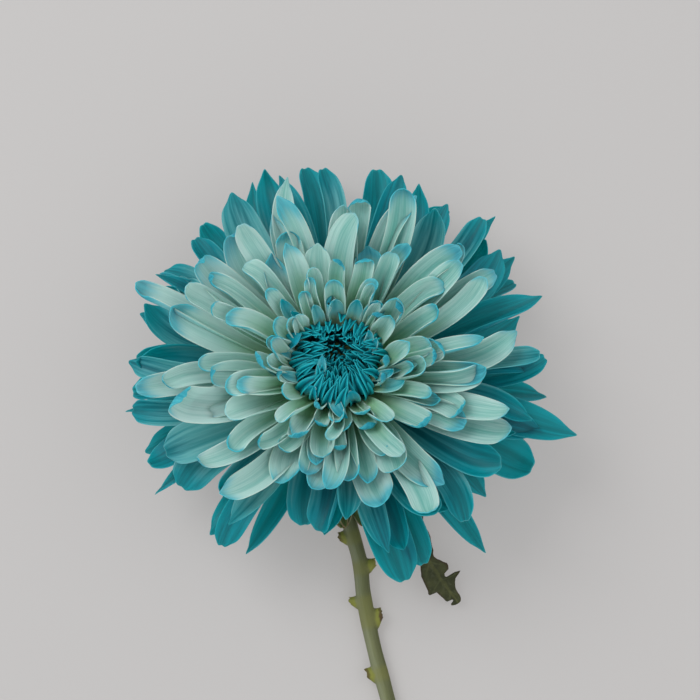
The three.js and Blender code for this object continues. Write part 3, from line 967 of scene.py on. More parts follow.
def floret_finish(name, side):
    """Dark in the depth of the disc and in the groove as painted shade, turquoise at the tip, and light
    turquoise on the edges as painted light.
    """
    finish, at = petal_finish(name, 0.42, specular=0.1)
    # painted shade: dark toward the root, deep in the disc
    colour = finish.mixed((at.along + 0.4 * at.streak).ramp(0.35, 0.9), FLORET_SHADE, TEAL)
    colour = finish.mixed(0.7 * at.streak.ramp(0.42, 0.7), colour, TURQUOISE)
    # painted shade: dark along the groove between the folded sides
    colour = finish.mixed(0.75 * (1 - at.out.ramp(0.05, 0.5)), colour, FLORET_SHADE)
    # painted light: lighter turquoise where the folded edges catch the light
    lit = (at.out + 0.3 * at.along).ramp(0.72, 1.15)
    colour = finish.mixed((0.5 + 0.5 * at.first) * lit, colour, LIT_EDGE)
    if side == "rim":
        # painted light: the rims take mostly the lit edge colour
        colour = finish.mixed(0.75, colour, LIT_EDGE)
    finish.feed("Base Color", colour)
    return finish.material


disc = ring(
    "disc_florets", disc_florets(),
    heart_step("disc_core", low=10.6, low_radius=10.6, high=14.5, high_radius=6),
    three_sides(floret_finish, "floret"),
    lambda petal: floret, FLORET_WIDTH, FLORET_LENGTH)
print("florets of the disc:", faces_of(disc), "triangles")

# %% Florets that stand out of the disc
ACCENTS = (
    (161, 16.1, 6.2, 22, 150, 64, -40),
    (-127, 16.6, 4.1, 91, 150, 47, -50),
    (-95, 15.4, 4.5, 82, 0, 67, 60),
    (-124, 12.2, 6.2, 44, 120, -36, -40),
    (-71, 12.2, 6.2, 44, 120, 4, -50),
    (48, 19.2, 8.2, 54, 60, 14, 50),
    (25, 13.5, 3.8, 109, 40, 90, 60),
    (10, 14.1, 3.5, 104, 40, 87, 60),
    (-15, 18.2, 4.2, 51, 40, 59, 70),
    (-27, 16.0, 4.0, 72, 40, 64, 70),
    (-34, 16.8, 6.0, 42, 40, 69, 60),
    (139, 19.3, 5.8, 45, 40, -24, 60),
    (132, 15.2, 4.2, 45, 60, 27, 60),
    (92, 16.6, 6.5, 55, 80, 23, 60),
    (70, 17.0, 6.0, 51, 80, -13, 60),
    (175, 15.5, 4.2, 63, 40, -31, 70),
    (-166, 17.3, 4.5, 21, 60, -84, 60),
    (-153, 13.8, 4.2, 67, 40, -56, 60),
    (114, 14.7, 5.0, 64, 60, 9, 60),
)
ACCENT_SEED = 1800
ACCENT_ROOT = 10.4
ACCENT_HEIGHT = 11
ACCENT_TWIST = 20
ACCENT_CURL = 0.4


def accent_petals():
    """Listed one by one: azimuth, length, width, slopes at root and tip, sideways bend and cup."""
    petals = []
    for place, (azimuth, length, width, rise, tip, bend, cup) in enumerate(ACCENTS):
        petal = petal_of(
            ACCENT_SEED + place, azimuth, dye=0.5, root=ACCENT_ROOT, height=ACCENT_HEIGHT,
            length=length, width=width, rise=rise, tip=tip, cup=cup, claw=FLORET_CLAW,
            twist=ACCENT_TWIST * draw(place, "twist"), bend=bend)
        petal.curl *= ACCENT_CURL
        petal.sway = 0.0
        petals.append(petal)
    return petals


ACCENT_BASE = (0.30, 0.46, 0.26)
ACCENT_LIGHT = (0.16, 0.52, 0.52)


def accent_finish(name, side):
    """Green at the root, then light turquoise, and blue at the tip."""
    finish, at = petal_finish(name, 0.42)
    colour = finish.mixed((at.along + 0.2 * at.streak).ramp(0.3, 0.62), ACCENT_BASE, ACCENT_LIGHT)
    blue = (at.along + 0.5 * at.first + 0.4 * (at.streak - 0.5)).ramp(0.62, 1.15)
    colour = finish.mixed(blue, colour, TURQUOISE)
    colour = finish.mixed(0.5 * (1 - at.out.ramp(0.0, 0.45)) * at.along.ramp(0.3, 0.6), colour, TEAL)
    if side == "rim":
        colour = finish.mixed(0.4, colour, CREAM)
    elif side == "back":
        colour = finish.mixed(0.4, colour, TURQUOISE)
    finish.feed("Base Color", colour)
    return finish.material


accents = blades(
    "accents", accent_petals(), three_sides(accent_finish, "accent"),
    lambda petal: ray_blanks["pointed"])
disc = join([disc, accents], "disc_florets")
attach(disc, "root")
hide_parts("centre_florets")
print("disc:", faces_of(disc), "triangles")

# %% [markdown]
# ## The cup of bracts
# Under the bloom is a green bowl, covered with small scales that lie over each other like tiles.
# Each scale has a thin papery rim. The bowl could be spun from a profile, but drawing it up from
# a disc, ring by ring, leaves nothing to merge. The scales are one more blank, bent by the same
# rule as the petals.

# %% Draw a disc up
def draw_up(disc, rings):
    """Extrudes a disc from ring to ring, given as width, depth and height in millimetres."""
    open_up(disc)
    bpy.ops.mesh.select_mode(type="FACE")
    bpy.ops.mesh.select_all(action="SELECT")
    for (width, depth, height), (next_width, next_depth, next_height) in zip(rings, rings[1:]):
        bpy.ops.mesh.extrude_region_move(
            TRANSFORM_OT_translate={"value": (0, 0, (next_height - height) * MM)})
        bpy.ops.transform.resize(
            value=(next_width / width, next_depth / depth, 1), center_override=(0, 0, 0))
    bpy.ops.mesh.select_all(action="SELECT")
    bpy.ops.mesh.normals_make_consistent(inside=False)
    close_up()


print("ready to draw discs up")

# %% The bowl
CUP_RINGS = ((3.9, -14.3), (6.4, -13), (10.4, -10.2), (12.4, -7.6), (12.6, -6.4))
CUP_SIDES = 40


def bract_bowl(finish):
    """Drawn up from its lowest disc, in the bloom's axes."""
    foot_radius, foot_height = CUP_RINGS[0]
    bowl = plain_form(
        "bract_bowl", bpy.ops.mesh.primitive_circle_add, vertices=CUP_SIDES,
        radius=foot_radius * MM, fill_type="NGON", location=(0, 0, foot_height * MM))
    draw_up(bowl, [(radius, radius, height) for radius, height in CUP_RINGS])
    bowl.data.materials.append(finish)
    return bowl


print("the bowl will have", len(CUP_RINGS), "rings")

# %% The scales
BRACT_COLUMNS = 4
BRACT_LENGTHWISE = 6
BRACT_WIDTH = 5 * MM
BRACT_LENGTH = 8 * MM
BRACT_KEEL = -0.3 * MM
BRACT_CLAW = 0.8
BRACT_CUP = 30
BRACT_SEED = 5000
BRACT_ROW_SEEDS = 40
BRACT_SWING = SimpleNamespace(azimuth=3, length=0.1, bend=8, hook=12)
BRACT_ROWS = (
    SimpleNamespace(count=9, root=4, height=-13, length=8, width=5.2, rise=12, tip=34),
    SimpleNamespace(count=11, root=7, height=-11.4, length=9, width=5.6, rise=22, tip=42),
    SimpleNamespace(count=14, root=9.6, height=-9.8, length=6.6, width=5.2, rise=34, tip=52),
)


def bract_outline(t):
    return body_width(BRACT_CLAW, t) * math.sqrt(1 - 0.97 * t ** 4)


def bracts():
    scales = []
    for level, row in enumerate(BRACT_ROWS):
        for place in range(row.count):
            number = BRACT_SEED + BRACT_ROW_SEEDS * level + place
            swing = swings(BRACT_SWING, number)
            azimuth = 360 / row.count * (place + 0.5 * level) + swing["azimuth"]
            scales.append(stiff(petal_of(
                number, azimuth, dye=level / (len(BRACT_ROWS) - 1), root=row.root,
                height=row.height, length=row.length * (1 + swing["length"]), width=row.width,
                rise=row.rise, tip=row.tip, cup=BRACT_CUP, claw=BRACT_CLAW,
                bend=swing["bend"], hook=swing["hook"])))
    return scales


BRACT_DARK = (0.06, 0.09, 0.02)
BRACT_GREEN = (0.12, 0.15, 0.04)
KEEL_GREEN = (0.03, 0.05, 0.012)
PAPER = (0.24, 0.22, 0.10)
BROWN_PAPER = (0.16, 0.09, 0.035)


def bract_finish(name, side):
    """Olive green with a dark keel, and a papery rim that browns at the tip."""
    finish, at = petal_finish(name, 0.6)
    green = finish.mixed(at.streak.ramp(0.3, 0.7), BRACT_DARK, BRACT_GREEN)
    green = finish.mixed(0.6 * (1 - at.out.ramp(0.0, 0.3)), green, KEEL_GREEN)
    paper = finish.mixed(at.along.ramp(0.5, 1.0), PAPER, BROWN_PAPER)
    colour = finish.mixed((at.out + 0.5 * at.along + 0.2 * at.streak).ramp(1.05, 1.3), green, paper)
    if side == "rim":
        colour = finish.mixed(0.6, colour, paper)
    finish.feed("Base Color", colour)
    return finish.material


bract = strip_blank(
    "bract", BRACT_COLUMNS, BRACT_LENGTHWISE, BRACT_WIDTH, BRACT_LENGTH, bract_outline, BRACT_KEEL)
bract_finishes = three_sides(bract_finish, "bract")
cup = ring(
    "bracts_under_bloom", bracts(), bract_bowl(bract_finishes[0]), bract_finishes,
    lambda scale: bract, BRACT_WIDTH, BRACT_LENGTH)
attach(cup, "root")
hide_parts("bract_cup")
print("bracts:", faces_of(cup), "triangles")

# %% [markdown]
# ## A tube along a line
# The stem and the leaf's stalk are tubes round a smooth line. A curve object with a bevel could
# draw them, but its own smoothing would leave the solid stem's line. So the line goes through the
# same stops as in the solid model, and a cylinder with many rings is moved onto it.

# %% Lines and tubes
ACROSS_STEP = 0.5 * MM
LEAD = 6 * MM


class Track:
    """A smooth line through stops in millimetres from the heart's foot, straight past its ends."""

    def __init__(self, stops):
        stops = np.array(stops, float) * MM + np.array([HEART.x, HEART.y, 0])
        line = self.rounded(np.vstack([2 * stops[0] - stops[1], stops, 2 * stops[-1] - stops[-2]]))
        steps = np.linalg.norm(np.diff(line, axis=0), axis=1)
        self.length = steps.sum()
        first, last = (line[0] - line[1]) / steps[0], (line[-1] - line[-2]) / steps[-1]
        self.points = np.vstack([line[0] + first * LEAD, line, line[-1] + last * LEAD])
        self.travel = np.concatenate([[-LEAD, 0], np.cumsum(steps), [self.length + LEAD]])

    @staticmethod
    def rounded(stops, steps=40):
        """Cubic pieces that meet smoothly, with the root of each distance as their time."""
        gaps = np.sqrt(np.linalg.norm(np.diff(stops, axis=0), axis=1))
        t = np.linspace(0, 1, steps, endpoint=False)[:, None]
        pieces = []
        for before, here, there, after, gap_before, gap, gap_after in zip(
                stops, stops[1:], stops[2:], stops[3:], gaps, gaps[1:], gaps[2:]):
            leaving = (here - before) / gap_before - (there - before) / (gap_before + gap)
            leaving = (leaving + (there - here) / gap) * gap
            arriving = (there - here) / gap - (after - here) / (gap + gap_after)
            arriving = (arriving + (after - there) / gap_after) * gap
            near_here = (2 * t ** 3 - 3 * t ** 2 + 1) * here + (t ** 3 - 2 * t ** 2 + t) * leaving
            near_there = (3 * t ** 2 - 2 * t ** 3) * there + (t ** 3 - t ** 2) * arriving
            pieces.append(near_here + near_there)
        return np.vstack([*pieces, stops[-2:-1]])

    def at(self, distance):
        places = [np.interp(distance, self.travel, self.points[:, axis]) for axis in range(3)]
        return np.stack(places, axis=-1)

    def frame(self, distance):
        """Along, across to the right and up, at distances from the start."""
        along = self.at(distance + ACROSS_STEP) - self.at(distance - ACROSS_STEP)
        along /= np.linalg.norm(along, axis=-1, keepdims=True)
        across = np.array([1.0, 0, 0]) - along * along[..., :1]
        across /= np.linalg.norm(across, axis=-1, keepdims=True)
        return along, across, np.cross(along, across)

    def moved(self, flat):
        """Points given as right, up and distance, moved onto the line."""
        along, across, up = self.frame(flat[:, 2])
        return self.at(flat[:, 2]) + across * flat[:, :1] + up * flat[:, 1:2]


def straight_tube(name, sides, long, cuts):
    """A cylinder of radius 1 mm along z, cut into rings."""
    tube = plain_form(
        name, bpy.ops.mesh.primitive_cylinder_add,
        vertices=sides, radius=MM, depth=long, location=(0, 0, long / 2))
    open_up(tube)
    bpy.ops.mesh.select_mode(type="EDGE")
    bpy.ops.mesh.select_all(action="DESELECT")
    mesh = bmesh.from_edit_mesh(tube.data)
    for edge in mesh.edges:
        edge.select = bool(abs(edge.verts[0].co.z - edge.verts[1].co.z) > long / 2)
    bmesh.update_edit_mesh(tube.data)
    bpy.ops.mesh.subdivide(number_cuts=cuts)
    close_up()
    return tube


print("ready to lay tubes")

# %% [markdown]
# ## The stem
# A bare stem isn't a plain rod: it has soft ridges, thickens at each node, and where a leaf was
# stripped a ragged stub stands off it. The rod and the stubs are joined by a voxel remesh, which
# melts them together as grown. Its faces know nothing of the stem's run, so each point then gets
# its place along and round the stem as an attribute, for the finish to follow.

# %% The stem's rod
STEM_STOPS = (
    (0, -3.035, 13.719), (0, -5.2, 9.2), (0.6, -12, 6.2), (1.8, -26, 6.2), (3.6, -43, 6.6),
    (7.2, -57, 4.9), (8.3, -67, 3.9), (11.4, -83, 3), (15.9, -100, 2.6), (21, -121, 2.6),
    (24, -142, 2.6), (28.5, -166, 2.6))
STEM_RADIUS = 2.35 * MM
NECK_SWELL = 0.7 * MM
NECK_SHARE = 0.08
CUT_SLANT = math.tan(math.radians(30))
RIDGES = 5
RIDGE = 0.035
RIDGE_PITCH = 20 * MM
NODE_SWELL = 0.06
NODE_SPREAD = 4 * MM
STUBS = (
    SimpleNamespace(brown=0.7, y=-48.5, round=10, length=5.4, stand=2.4),
    SimpleNamespace(brown=0.15, y=-58.5, round=172, length=5, stand=2.8),
    SimpleNamespace(brown=0.1, y=-69.5, round=-8, length=4.6, stand=2.6),
    SimpleNamespace(brown=1, y=-75.5, round=176, length=7, stand=2.6),
    SimpleNamespace(brown=0.7, y=-92, round=14, length=6, stand=2.4),
    SimpleNamespace(brown=0.4, y=-110, round=150, length=5, stand=2.4),
    SimpleNamespace(brown=1, y=-130, round=30, length=5.4, stand=2.5),
    SimpleNamespace(brown=0.6, y=-150, round=165, length=4.6, stand=2.2),
)

stem_line = Track(STEM_STOPS)
for stub in STUBS:
    passed = stem_line.points[:, 1] > HEART.y + stub.y * MM
    stub.distance = stem_line.travel[passed][-1]


def stem_radius(distance):
    neck = NECK_SWELL * (1 - smooth(distance / stem_line.length / NECK_SHARE))
    swell = sum(np.exp(-((distance - stub.distance) / NODE_SPREAD) ** 2) for stub in STUBS)
    return (STEM_RADIUS + neck) * (1 + NODE_SWELL * swell)


def lay_stem(rod):
    """Gives the straight rod its radius, ridges and slanted cut, and lays it on its line."""
    flat = points_of(rod)
    cut = CUT_SLANT * STEM_RADIUS * (flat[:, 0] / MM) * (flat[:, 2] > stem_line.length - MM)
    angle = np.arctan2(flat[:, 1], flat[:, 0])
    ridge = 1 + RIDGE * np.cos(RIDGES * angle + flat[:, 2] / RIDGE_PITCH)
    radius = stem_radius(flat[:, 2]) * ridge
    flat[:, :2] *= radius[:, None] / MM
    flat[:, 2] += cut
    put_points(rod, stem_line.moved(flat))


STEM_SIDES = 30
STEM_RINGS = 160
rod = straight_tube("stem", STEM_SIDES, stem_line.length, STEM_RINGS)
lay_stem(rod)
print("the stem is", round(stem_line.length / MM), "mm long and has", len(STUBS), "stubs")

# %% The stubs
STUB_SIDES = 14
STUB_STEPS = (
    SimpleNamespace(out=0.0, run=0.0, half_run=0.55, half_side=1.9),
    SimpleNamespace(out=0.45, run=-0.04, half_run=0.46, half_side=1.7),
    SimpleNamespace(out=0.66, run=-0.12, half_run=0.36, half_side=1.5),
    SimpleNamespace(out=0.92, run=-0.24, half_run=0.26, half_side=1.2),
    SimpleNamespace(out=0.8, run=-0.24, half_run=0.14, half_side=0.6),
)
STUB_DEPTH = 1.4 * MM
RAG = 0.5 * MM
RAG_SEEDS = 40


def stub_blank():
    """A short wedge along z, one across and one along, with a hollow broken end."""
    wedge = plain_form(
        "stub", bpy.ops.mesh.primitive_circle_add,
        vertices=STUB_SIDES, radius=MM, fill_type="NGON")
    draw_up(wedge, [(step.half_side, step.half_run, step.out) for step in STUB_STEPS])
    return wedge


def placed_stub(blank, stub, number):
    """A copy of the wedge at its place on the stem, with a ragged end of its own."""
    copy = copy_of(blank)
    flat = points_of(copy)
    share = flat[:, 2] / MM
    start = np.full(1, stub.distance)
    along, across, up = (part[0] for part in stem_line.frame(start))
    turned = math.radians(stub.round)
    out = up * math.sin(turned) - across * math.cos(turned)
    side = np.cross(out, along)
    base = STUB_STEPS[0]
    outward = STUB_STEPS[:-1]
    runs = np.interp(share, [step.out for step in outward], [step.run for step in outward])
    rags = [draw(number * RAG_SEEDS + point, "rag") for point in range(len(flat))]
    reach = stem_radius(stub.distance) - STUB_DEPTH + share * (stub.stand * MM + STUB_DEPTH)
    reach += RAG * np.array(rags) * smooth((share - 0.6) * 4)
    run_along = flat[:, 1] * stub.length * base.half_run + runs * stub.length * MM
    stand = out * reach[:, None] + along * run_along[:, None]
    stand = stand + side * (flat[:, 0] * base.half_side)[:, None]
    put_points(copy, stem_line.at(start) + stand)
    return copy


stub_shape = stub_blank()
stubs = [placed_stub(stub_shape, stub, number) for number, stub in enumerate(STUBS)]
print(len(stubs), "stubs of", len(stub_shape.data.polygons), "faces")

# %% Scales of the stem's collar
COLLAR_SCALES = (
    SimpleNamespace(place=(-1.2, -38.2, 7.6), turn=-70, length=8.5, width=4.2, rise=24, tip=-6),
    SimpleNamespace(place=(1.1, -38.7, 9), turn=-84, length=7.5, width=3.6, rise=20, tip=4),
    SimpleNamespace(place=(3.6, -38.4, 8.4), turn=-100, length=8, width=3.8, rise=10, tip=-8),
    SimpleNamespace(place=(4.9, -39.8, 7.4), turn=-58, length=6.5, width=3, rise=16, tip=10),
)
COLLAR_WALL = 0.5 * MM
COLLAR_SEED = 5300
COLLAR_CUP = 50
COLLAR_SWING = SimpleNamespace(twist=20, bend=20, hook=20)


def collar_scale(scale, number):
    """A small leaf like the bracts, on the stem just below the bloom."""
    petal = stiff(petal_of(
        COLLAR_SEED + number, scale.turn, dye=0.8, root=0, height=0, length=scale.length,
        width=scale.width, rise=scale.rise, tip=scale.tip, cup=COLLAR_CUP, claw=BRACT_CLAW,
        **swings(COLLAR_SWING, number)))
    copy = bent_copy(bract, petal, BRACT_WIDTH, BRACT_LENGTH)
    copy.data.transform(Matrix.Translation(Vector(scale.place) * MM + Vector((HEART.x, HEART.y, 0))))
    return copy


collar = join([collar_scale(scale, number) for number, scale in enumerate(COLLAR_SCALES)], "collar")
give_wall(collar, COLLAR_WALL, bract_finishes)
print("the collar has", faces_of(collar), "triangles")

# %% Melt the stem together
STEM_VOXEL = 0.36 * MM
MARK_STEP = 0.7 * MM
MARK_BATCH = 2000
GRAIN_LENGTH = 100 * MM
SCAR_HEIGHT = 2.4 * MM
SCAR_SPREAD = 3.4 * MM
SCAR_FROM = 0.2


def melt(things, name):
    """Joins closed solids into one skin."""
    piece = join(things, name)
    piece.data.remesh_voxel_size = STEM_VOXEL
    take(piece)
    bpy.ops.object.voxel_remesh()
    open_up(piece)
    bpy.ops.mesh.select_all(action="SELECT")
    bpy.ops.mesh.vertices_smooth(factor=0.5, repeat=2)
    close_up()
    return piece


def mark_stem(piece):
    """Writes each point's place round and along the stem, and how near it is to a stub's end."""
    points = points_of(piece)
    stops = np.arange(0, stem_line.length, MARK_STEP)
    line = stem_line.at(stops)
    nearest = np.empty(len(points), int)
    for start in range(0, len(points), MARK_BATCH):
        batch = slice(start, start + MARK_BATCH)
        nearest[batch] = ((points[batch, None] - line[None]) ** 2).sum(axis=2).argmin(axis=1)
    along, across, up = stem_line.frame(stops[nearest])
    away = points - line[nearest]
    distance = stops[nearest] + (away * along).sum(axis=1)
    right_part, up_part = (away * across).sum(axis=1), (away * up).sum(axis=1)
    out = np.hypot(right_part, up_part)
    grain = np.stack([right_part / out, up_part / out, distance / GRAIN_LENGTH], axis=1)
    stand = (out - stem_radius(distance)) / SCAR_HEIGHT
    nearness = [np.exp(-((distance - stub.distance) / SCAR_SPREAD) ** 2) for stub in STUBS]
    near = sum(nearness)
    brown = sum(share * stub.brown for share, stub in zip(nearness, STUBS)) / (near + 0.001)
    scar = np.stack([stand * (near > SCAR_FROM), near, brown], axis=1)
    for name, values in (("grain", grain), ("scar", scar)):
        marks = piece.data.attributes.new(name, "FLOAT_VECTOR", "POINT")
        marks.data.foreach_set("vector", values.astype(np.float32).ravel())


stem = melt([rod, *stubs], "green_stem")
set_points = points_of(stem)
set_points[:, 2] = np.maximum(set_points[:, 2], 0)
put_points(stem, set_points)
mark_stem(stem)
print("the stem has", faces_of(stem), "triangles")

# %% The stem's finish
STEM_OLIVE = (0.125, 0.14, 0.055)
STEM_GREY = (0.20, 0.215, 0.10)
FIBRE_GREY = (0.24, 0.26, 0.16)
# painted shade and painted light: a darker olive for the stem's right side and a lighter grey for its
# left side
SHADED_OLIVE = (0.075, 0.08, 0.025)
LIT_SIDE_GREY = (0.25, 0.27, 0.18)
NODE_YELLOW = (0.19, 0.19, 0.04)
STUB_YELLOW = (0.22, 0.23, 0.04)
SCAR_BROWN = (0.075, 0.04, 0.015)


def stem_finish():
    """Grey-olive with fine lengthwise streaks, lighter and greyer on its left side as painted light and
    darker on its right side as painted shade, yellow round the stubs and brown on their ends.
    """
    finish = Finish("stem_skin", {"Roughness": 0.55, "Specular IOR Level": 0.3})
    x, y, distance = finish.attribute("grain")
    stand, near, brown = finish.attribute("scar")
    streak = finish.noise(finish.vector(2 * x, 2 * y, 5 * distance), 1.0, 3.0)
    fibre = finish.noise(finish.vector(7 * x, 7 * y, 8 * distance), 1.0, 2.0)
    speck = finish.noise(finish.place(), 700.0, 3.0)
    colour = finish.mixed(streak.ramp(0.3, 0.7), STEM_OLIVE, STEM_GREY)
    colour = finish.mixed(0.3 * fibre.ramp(0.45, 0.7), colour, FIBRE_GREY)
    # painted shade: the stem's right side turns darker olive
    colour = finish.mixed(0.55 * (x + 0.5 * streak).ramp(-0.2, 0.9), colour, SHADED_OLIVE)
    # painted light: the stem's left side turns lighter and greyer
    colour = finish.mixed(0.4 * (0.3 * streak - x).ramp(0.1, 0.8), colour, LIT_SIDE_GREY)
    colour = finish.mixed(0.45 * (near + 0.3 * speck).ramp(0.5, 1.1), colour, NODE_YELLOW)
    colour = finish.mixed((stand + 0.4 * (speck - 0.5)).ramp(0.1, 0.4), colour, STUB_YELLOW)
    scarred = brown * (stand + 0.5 * (speck - 0.5)).ramp(0.5, 0.8)
    colour = finish.mixed(scarred, colour, SCAR_BROWN)
    finish.feed("Base Color", colour)
    finish.raised(fibre + 0.6 * streak + 0.5 * speck * near, 0.5, 0.35 * MM)
    return finish.material


stem.data.materials.clear()
stem.data.materials.append(stem_finish())
shade_smooth(stem)
stem = join([stem, collar], "green_stem")
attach(stem, "root")
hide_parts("stem")
print("the stem's finishes are", [slot.name for slot in stem.data.materials])

# %% [markdown]
# ## The withered leaf
# One dark leaf is left, half under the petals. It has ragged lobes, a raised light midrib and
# side veins, and it is crumpled and browned at its rim. Like a petal it starts as a flat grid,
# because the rows can be pulled out to the lobes one by one, and the grid's own map then carries
# the veins. Rounding its rim would smooth the notches away, so its wall stays as drawn.

# %% The flat leaf
LEAF_ROWS = (
    (0, 1.2, 1.2), (0.05, 2.2, 2), (0.1, 3.4, 3), (0.16, 5.4, 5.4), (0.2, 6, 6), (0.24, 6, 5.6),
    (0.28, 5, 4.6), (0.32, 4.2, 3.8), (0.36, 4.4, 4.2), (0.4, 4.6, 4.4), (0.44, 4.4, 4.2),
    (0.48, 4, 3.6), (0.52, 3.4, 3.1), (0.545, 3.2, 2.9), (0.57, 3, 2.2), (0.59, 3, 2),
    (0.62, 3.8, 2.4), (0.64, 4.2, 3), (0.66, 4.8, 3.4), (0.69, 5, 4.3), (0.715, 5.2, 4.2),
    (0.735, 5.3, 3.8), (0.748, 5.4, 1.9), (0.765, 5.5, 1.5), (0.78, 5.6, 1.8), (0.79, 5.8, 4.8),
    (0.803, 6.1, 6.6), (0.815, 5.9, 5.8), (0.828, 3.6, 4), (0.85, 3.4, 3), (0.875, 3.2, 2.4),
    (0.9, 3, 2), (0.925, 2.9, 1.9), (0.94, 2.7, 1.8), (0.95, 0.9, 1.9), (0.963, 0.8, 1.8),
    (0.974, 2.1, 1.7), (0.987, 2.2, 1.4), (1.0, 0.9, 0.9))
LEAF_SIDES = 9
LEAF_WIDTH = 20 * MM
LEAF_WALL = 0.4 * MM
LEAF_STOPS = (
    (17.5, -34, 10.6), (21.8, -42.6, 10), (26.4, -52, 8.8), (32.3, -61.2, 6.6), (38.4, -69.5, 3.6))
LEAF_CUP = math.tan(math.radians(24))
SIDE_VEINS = 5
VEIN_SLANT = 0.012
VEIN_LIFT = 0.28
RIB_LIFT = 0.45
RIB_WIDTH = 0.7
CRUMPLES = (
    SimpleNamespace(lift=0.7, along=17, across=0.5, start=0, full_at=7),
    SimpleNamespace(lift=0.5, along=31, across=-0.9, start=1, full_at=8))

leaf_line = Track(LEAF_STOPS)


def leaf_blank():
    """A grid with its rows moved and narrowed to the width of each half."""
    rows = len(LEAF_ROWS) - 1
    grid, across, _ = flat_grid("leaf", 2 * LEAF_SIDES, rows, LEAF_WIDTH, leaf_line.length)
    for row, (share, left, right) in enumerate(LEAF_ROWS):
        pick(grid, lambda number, place: number in across[row])
        bpy.ops.transform.translate(value=(0, (share - row / rows) * leaf_line.length, 0))
        for half, half_width in ((-1, right), (1, left)):
            pick(grid, lambda number, place: number in across[row] and place.x * half > 0)
            narrowing = half_width * MM / (LEAF_WIDTH / 2)
            bpy.ops.transform.resize(value=(narrowing, 1, 1), center_override=(0, 0, 0))
    close_up()
    return grid


def lay_leaf(sheet):
    """Folds the flat leaf along its rib, presses in its veins, crumples it and lays it down."""
    flat = points_of(sheet)
    x, t = flat[:, 0] / MM, flat[:, 1] / leaf_line.length
    off_rib = np.abs(x)
    veins = np.cos(math.tau * SIDE_VEINS * (t - VEIN_SLANT * off_rib))
    lift = LEAF_CUP * (1 - 0.9 * t) * off_rib
    lift += VEIN_LIFT * veins * smooth(off_rib / 3) + RIB_LIFT * np.exp(-(x / RIB_WIDTH) ** 2)
    for crumple in CRUMPLES:
        ripple = np.sin(t * crumple.along + x * crumple.across + crumple.start)
        lift += crumple.lift * ripple * smooth(off_rib / crumple.full_at)
    along, _, _ = leaf_line.frame(flat[:, 1])
    across = np.cross([0, 0, 1.0], along)
    across /= np.linalg.norm(across, axis=1)[:, None]
    up = np.cross(along, across)
    laid = leaf_line.at(flat[:, 1]) - across * flat[:, :1] + up * (lift * MM)[:, None]
    laid[:, 2] = np.maximum(laid[:, 2], TABLE_CLEAR)
    put_points(sheet, laid)


LEAF_DARK = (0.028, 0.034, 0.011)
LEAF_OLIVE = (0.062, 0.068, 0.022)
LEAF_DUST = (0.085, 0.09, 0.045)
LEAF_BROWN = (0.05, 0.032, 0.014)
VEIN_OLIVE = (0.10, 0.11, 0.04)
RIB_OLIVE = (0.13, 0.135, 0.04)
LEAF_BACK = (0.12, 0.13, 0.08)
LEAF_RIM = (0.07, 0.045, 0.02)


def leaf_finish(name, side):
    """Dark olive, mottled, with lighter veins and a brown rim."""
    finish = Finish(name, {"Roughness": 0.6, "Specular IOR Level": 0.25})
    _, along, out = finish.blade_map()
    patch = finish.noise(finish.place(), 160.0, 4.0)
    grain = finish.noise(finish.place(), 900.0, 3.0)
    colour = finish.mixed(patch.ramp(0.35, 0.65), LEAF_DARK, LEAF_OLIVE)
    colour = finish.mixed(0.5 * grain.ramp(0.5, 0.7), colour, LEAF_DUST)
    colour = finish.mixed((out + 0.5 * (patch - 0.5)).ramp(0.8, 1.1), colour, LEAF_BROWN)
    branch = finish.node(
        "ShaderNodeMath", {"operation": "PINGPONG"}, {0: along * SIDE_VEINS - 0.6 * out, 1: 0.5})
    vein = (1 - branch.ramp(0.02, 0.12)) * (1 - out.ramp(0.4, 0.95))
    rib = 1 - out.ramp(0.04, 0.2)
    colour = finish.mixed(0.4 * vein, colour, VEIN_OLIVE)
    colour = finish.mixed(0.4 * rib * (0.4 + patch), colour, RIB_OLIVE)
    if side == "back":
        colour = finish.mixed(0.5, colour, LEAF_BACK)
    elif side == "rim":
        colour = finish.mixed(0.7, colour, LEAF_RIM)
    finish.feed("Base Color", colour)
    finish.raised(grain + 0.8 * patch, 0.6, 0.4 * MM)
    return finish.material


withered = leaf_blank()
lay_leaf(withered)
give_wall(withered, LEAF_WALL, three_sides(leaf_finish, "leaf"), rounded=False)
print("the leaf is", round(leaf_line.length / MM), "mm long, of", faces_of(withered), "triangles")

# %% The leaf's stalk
STALK_STOPS = ((1.6, -22, 6.6), (7, -24, 10), (13, -28.5, 11), (18.5, -35.5, 10.4))
STALK_RADIUS = 1.35 * MM
STALK_NARROWING = 0.4 * MM
STALK_FLATNESS = 0.75
STALK_SIDES = 10
STALK_RINGS = 24

stalk_line = Track(STALK_STOPS)
stalk = straight_tube("stalk", STALK_SIDES, stalk_line.length, STALK_RINGS)
round_stalk = points_of(stalk)
narrowing = smooth(round_stalk[:, 2:] / stalk_line.length * 2)
round_stalk[:, :2] *= (STALK_RADIUS - STALK_NARROWING * narrowing) / MM
round_stalk[:, 1] *= STALK_FLATNESS
put_points(stalk, stalk_line.moved(round_stalk))
stalk.data.materials.append(leaf_finish("stalk_skin", "back"))
shade_smooth(stalk)
leaf = join([withered, stalk], "withered_leaf")
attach(leaf, "root")
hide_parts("leaf")
print("the leaf with its stalk has", faces_of(leaf), "triangles")

# %% [markdown]
# ## Take the blanks away
# The flat blanks have done their work. What stays in the scene is only the flower.

# %% Remove the blanks
for blank in [*ray_blanks.values(), floret, bract, stub_shape]:
    bpy.data.objects.remove(blank)

# %% [markdown]
# ## Table, light and camera
# The photograph is soft and even: a pale grey ground, a large light from the upper left and weak
# ones from the right and from below. The table also glows a little of itself, though it is no
# lamp: painted light that weakens the flower's shadow on it. The flower lies down, so the camera
# looks down on it, at the angle at which the photograph looks at the face. Its frame is 700 pixels
# wide, at 0.301 mm for each.

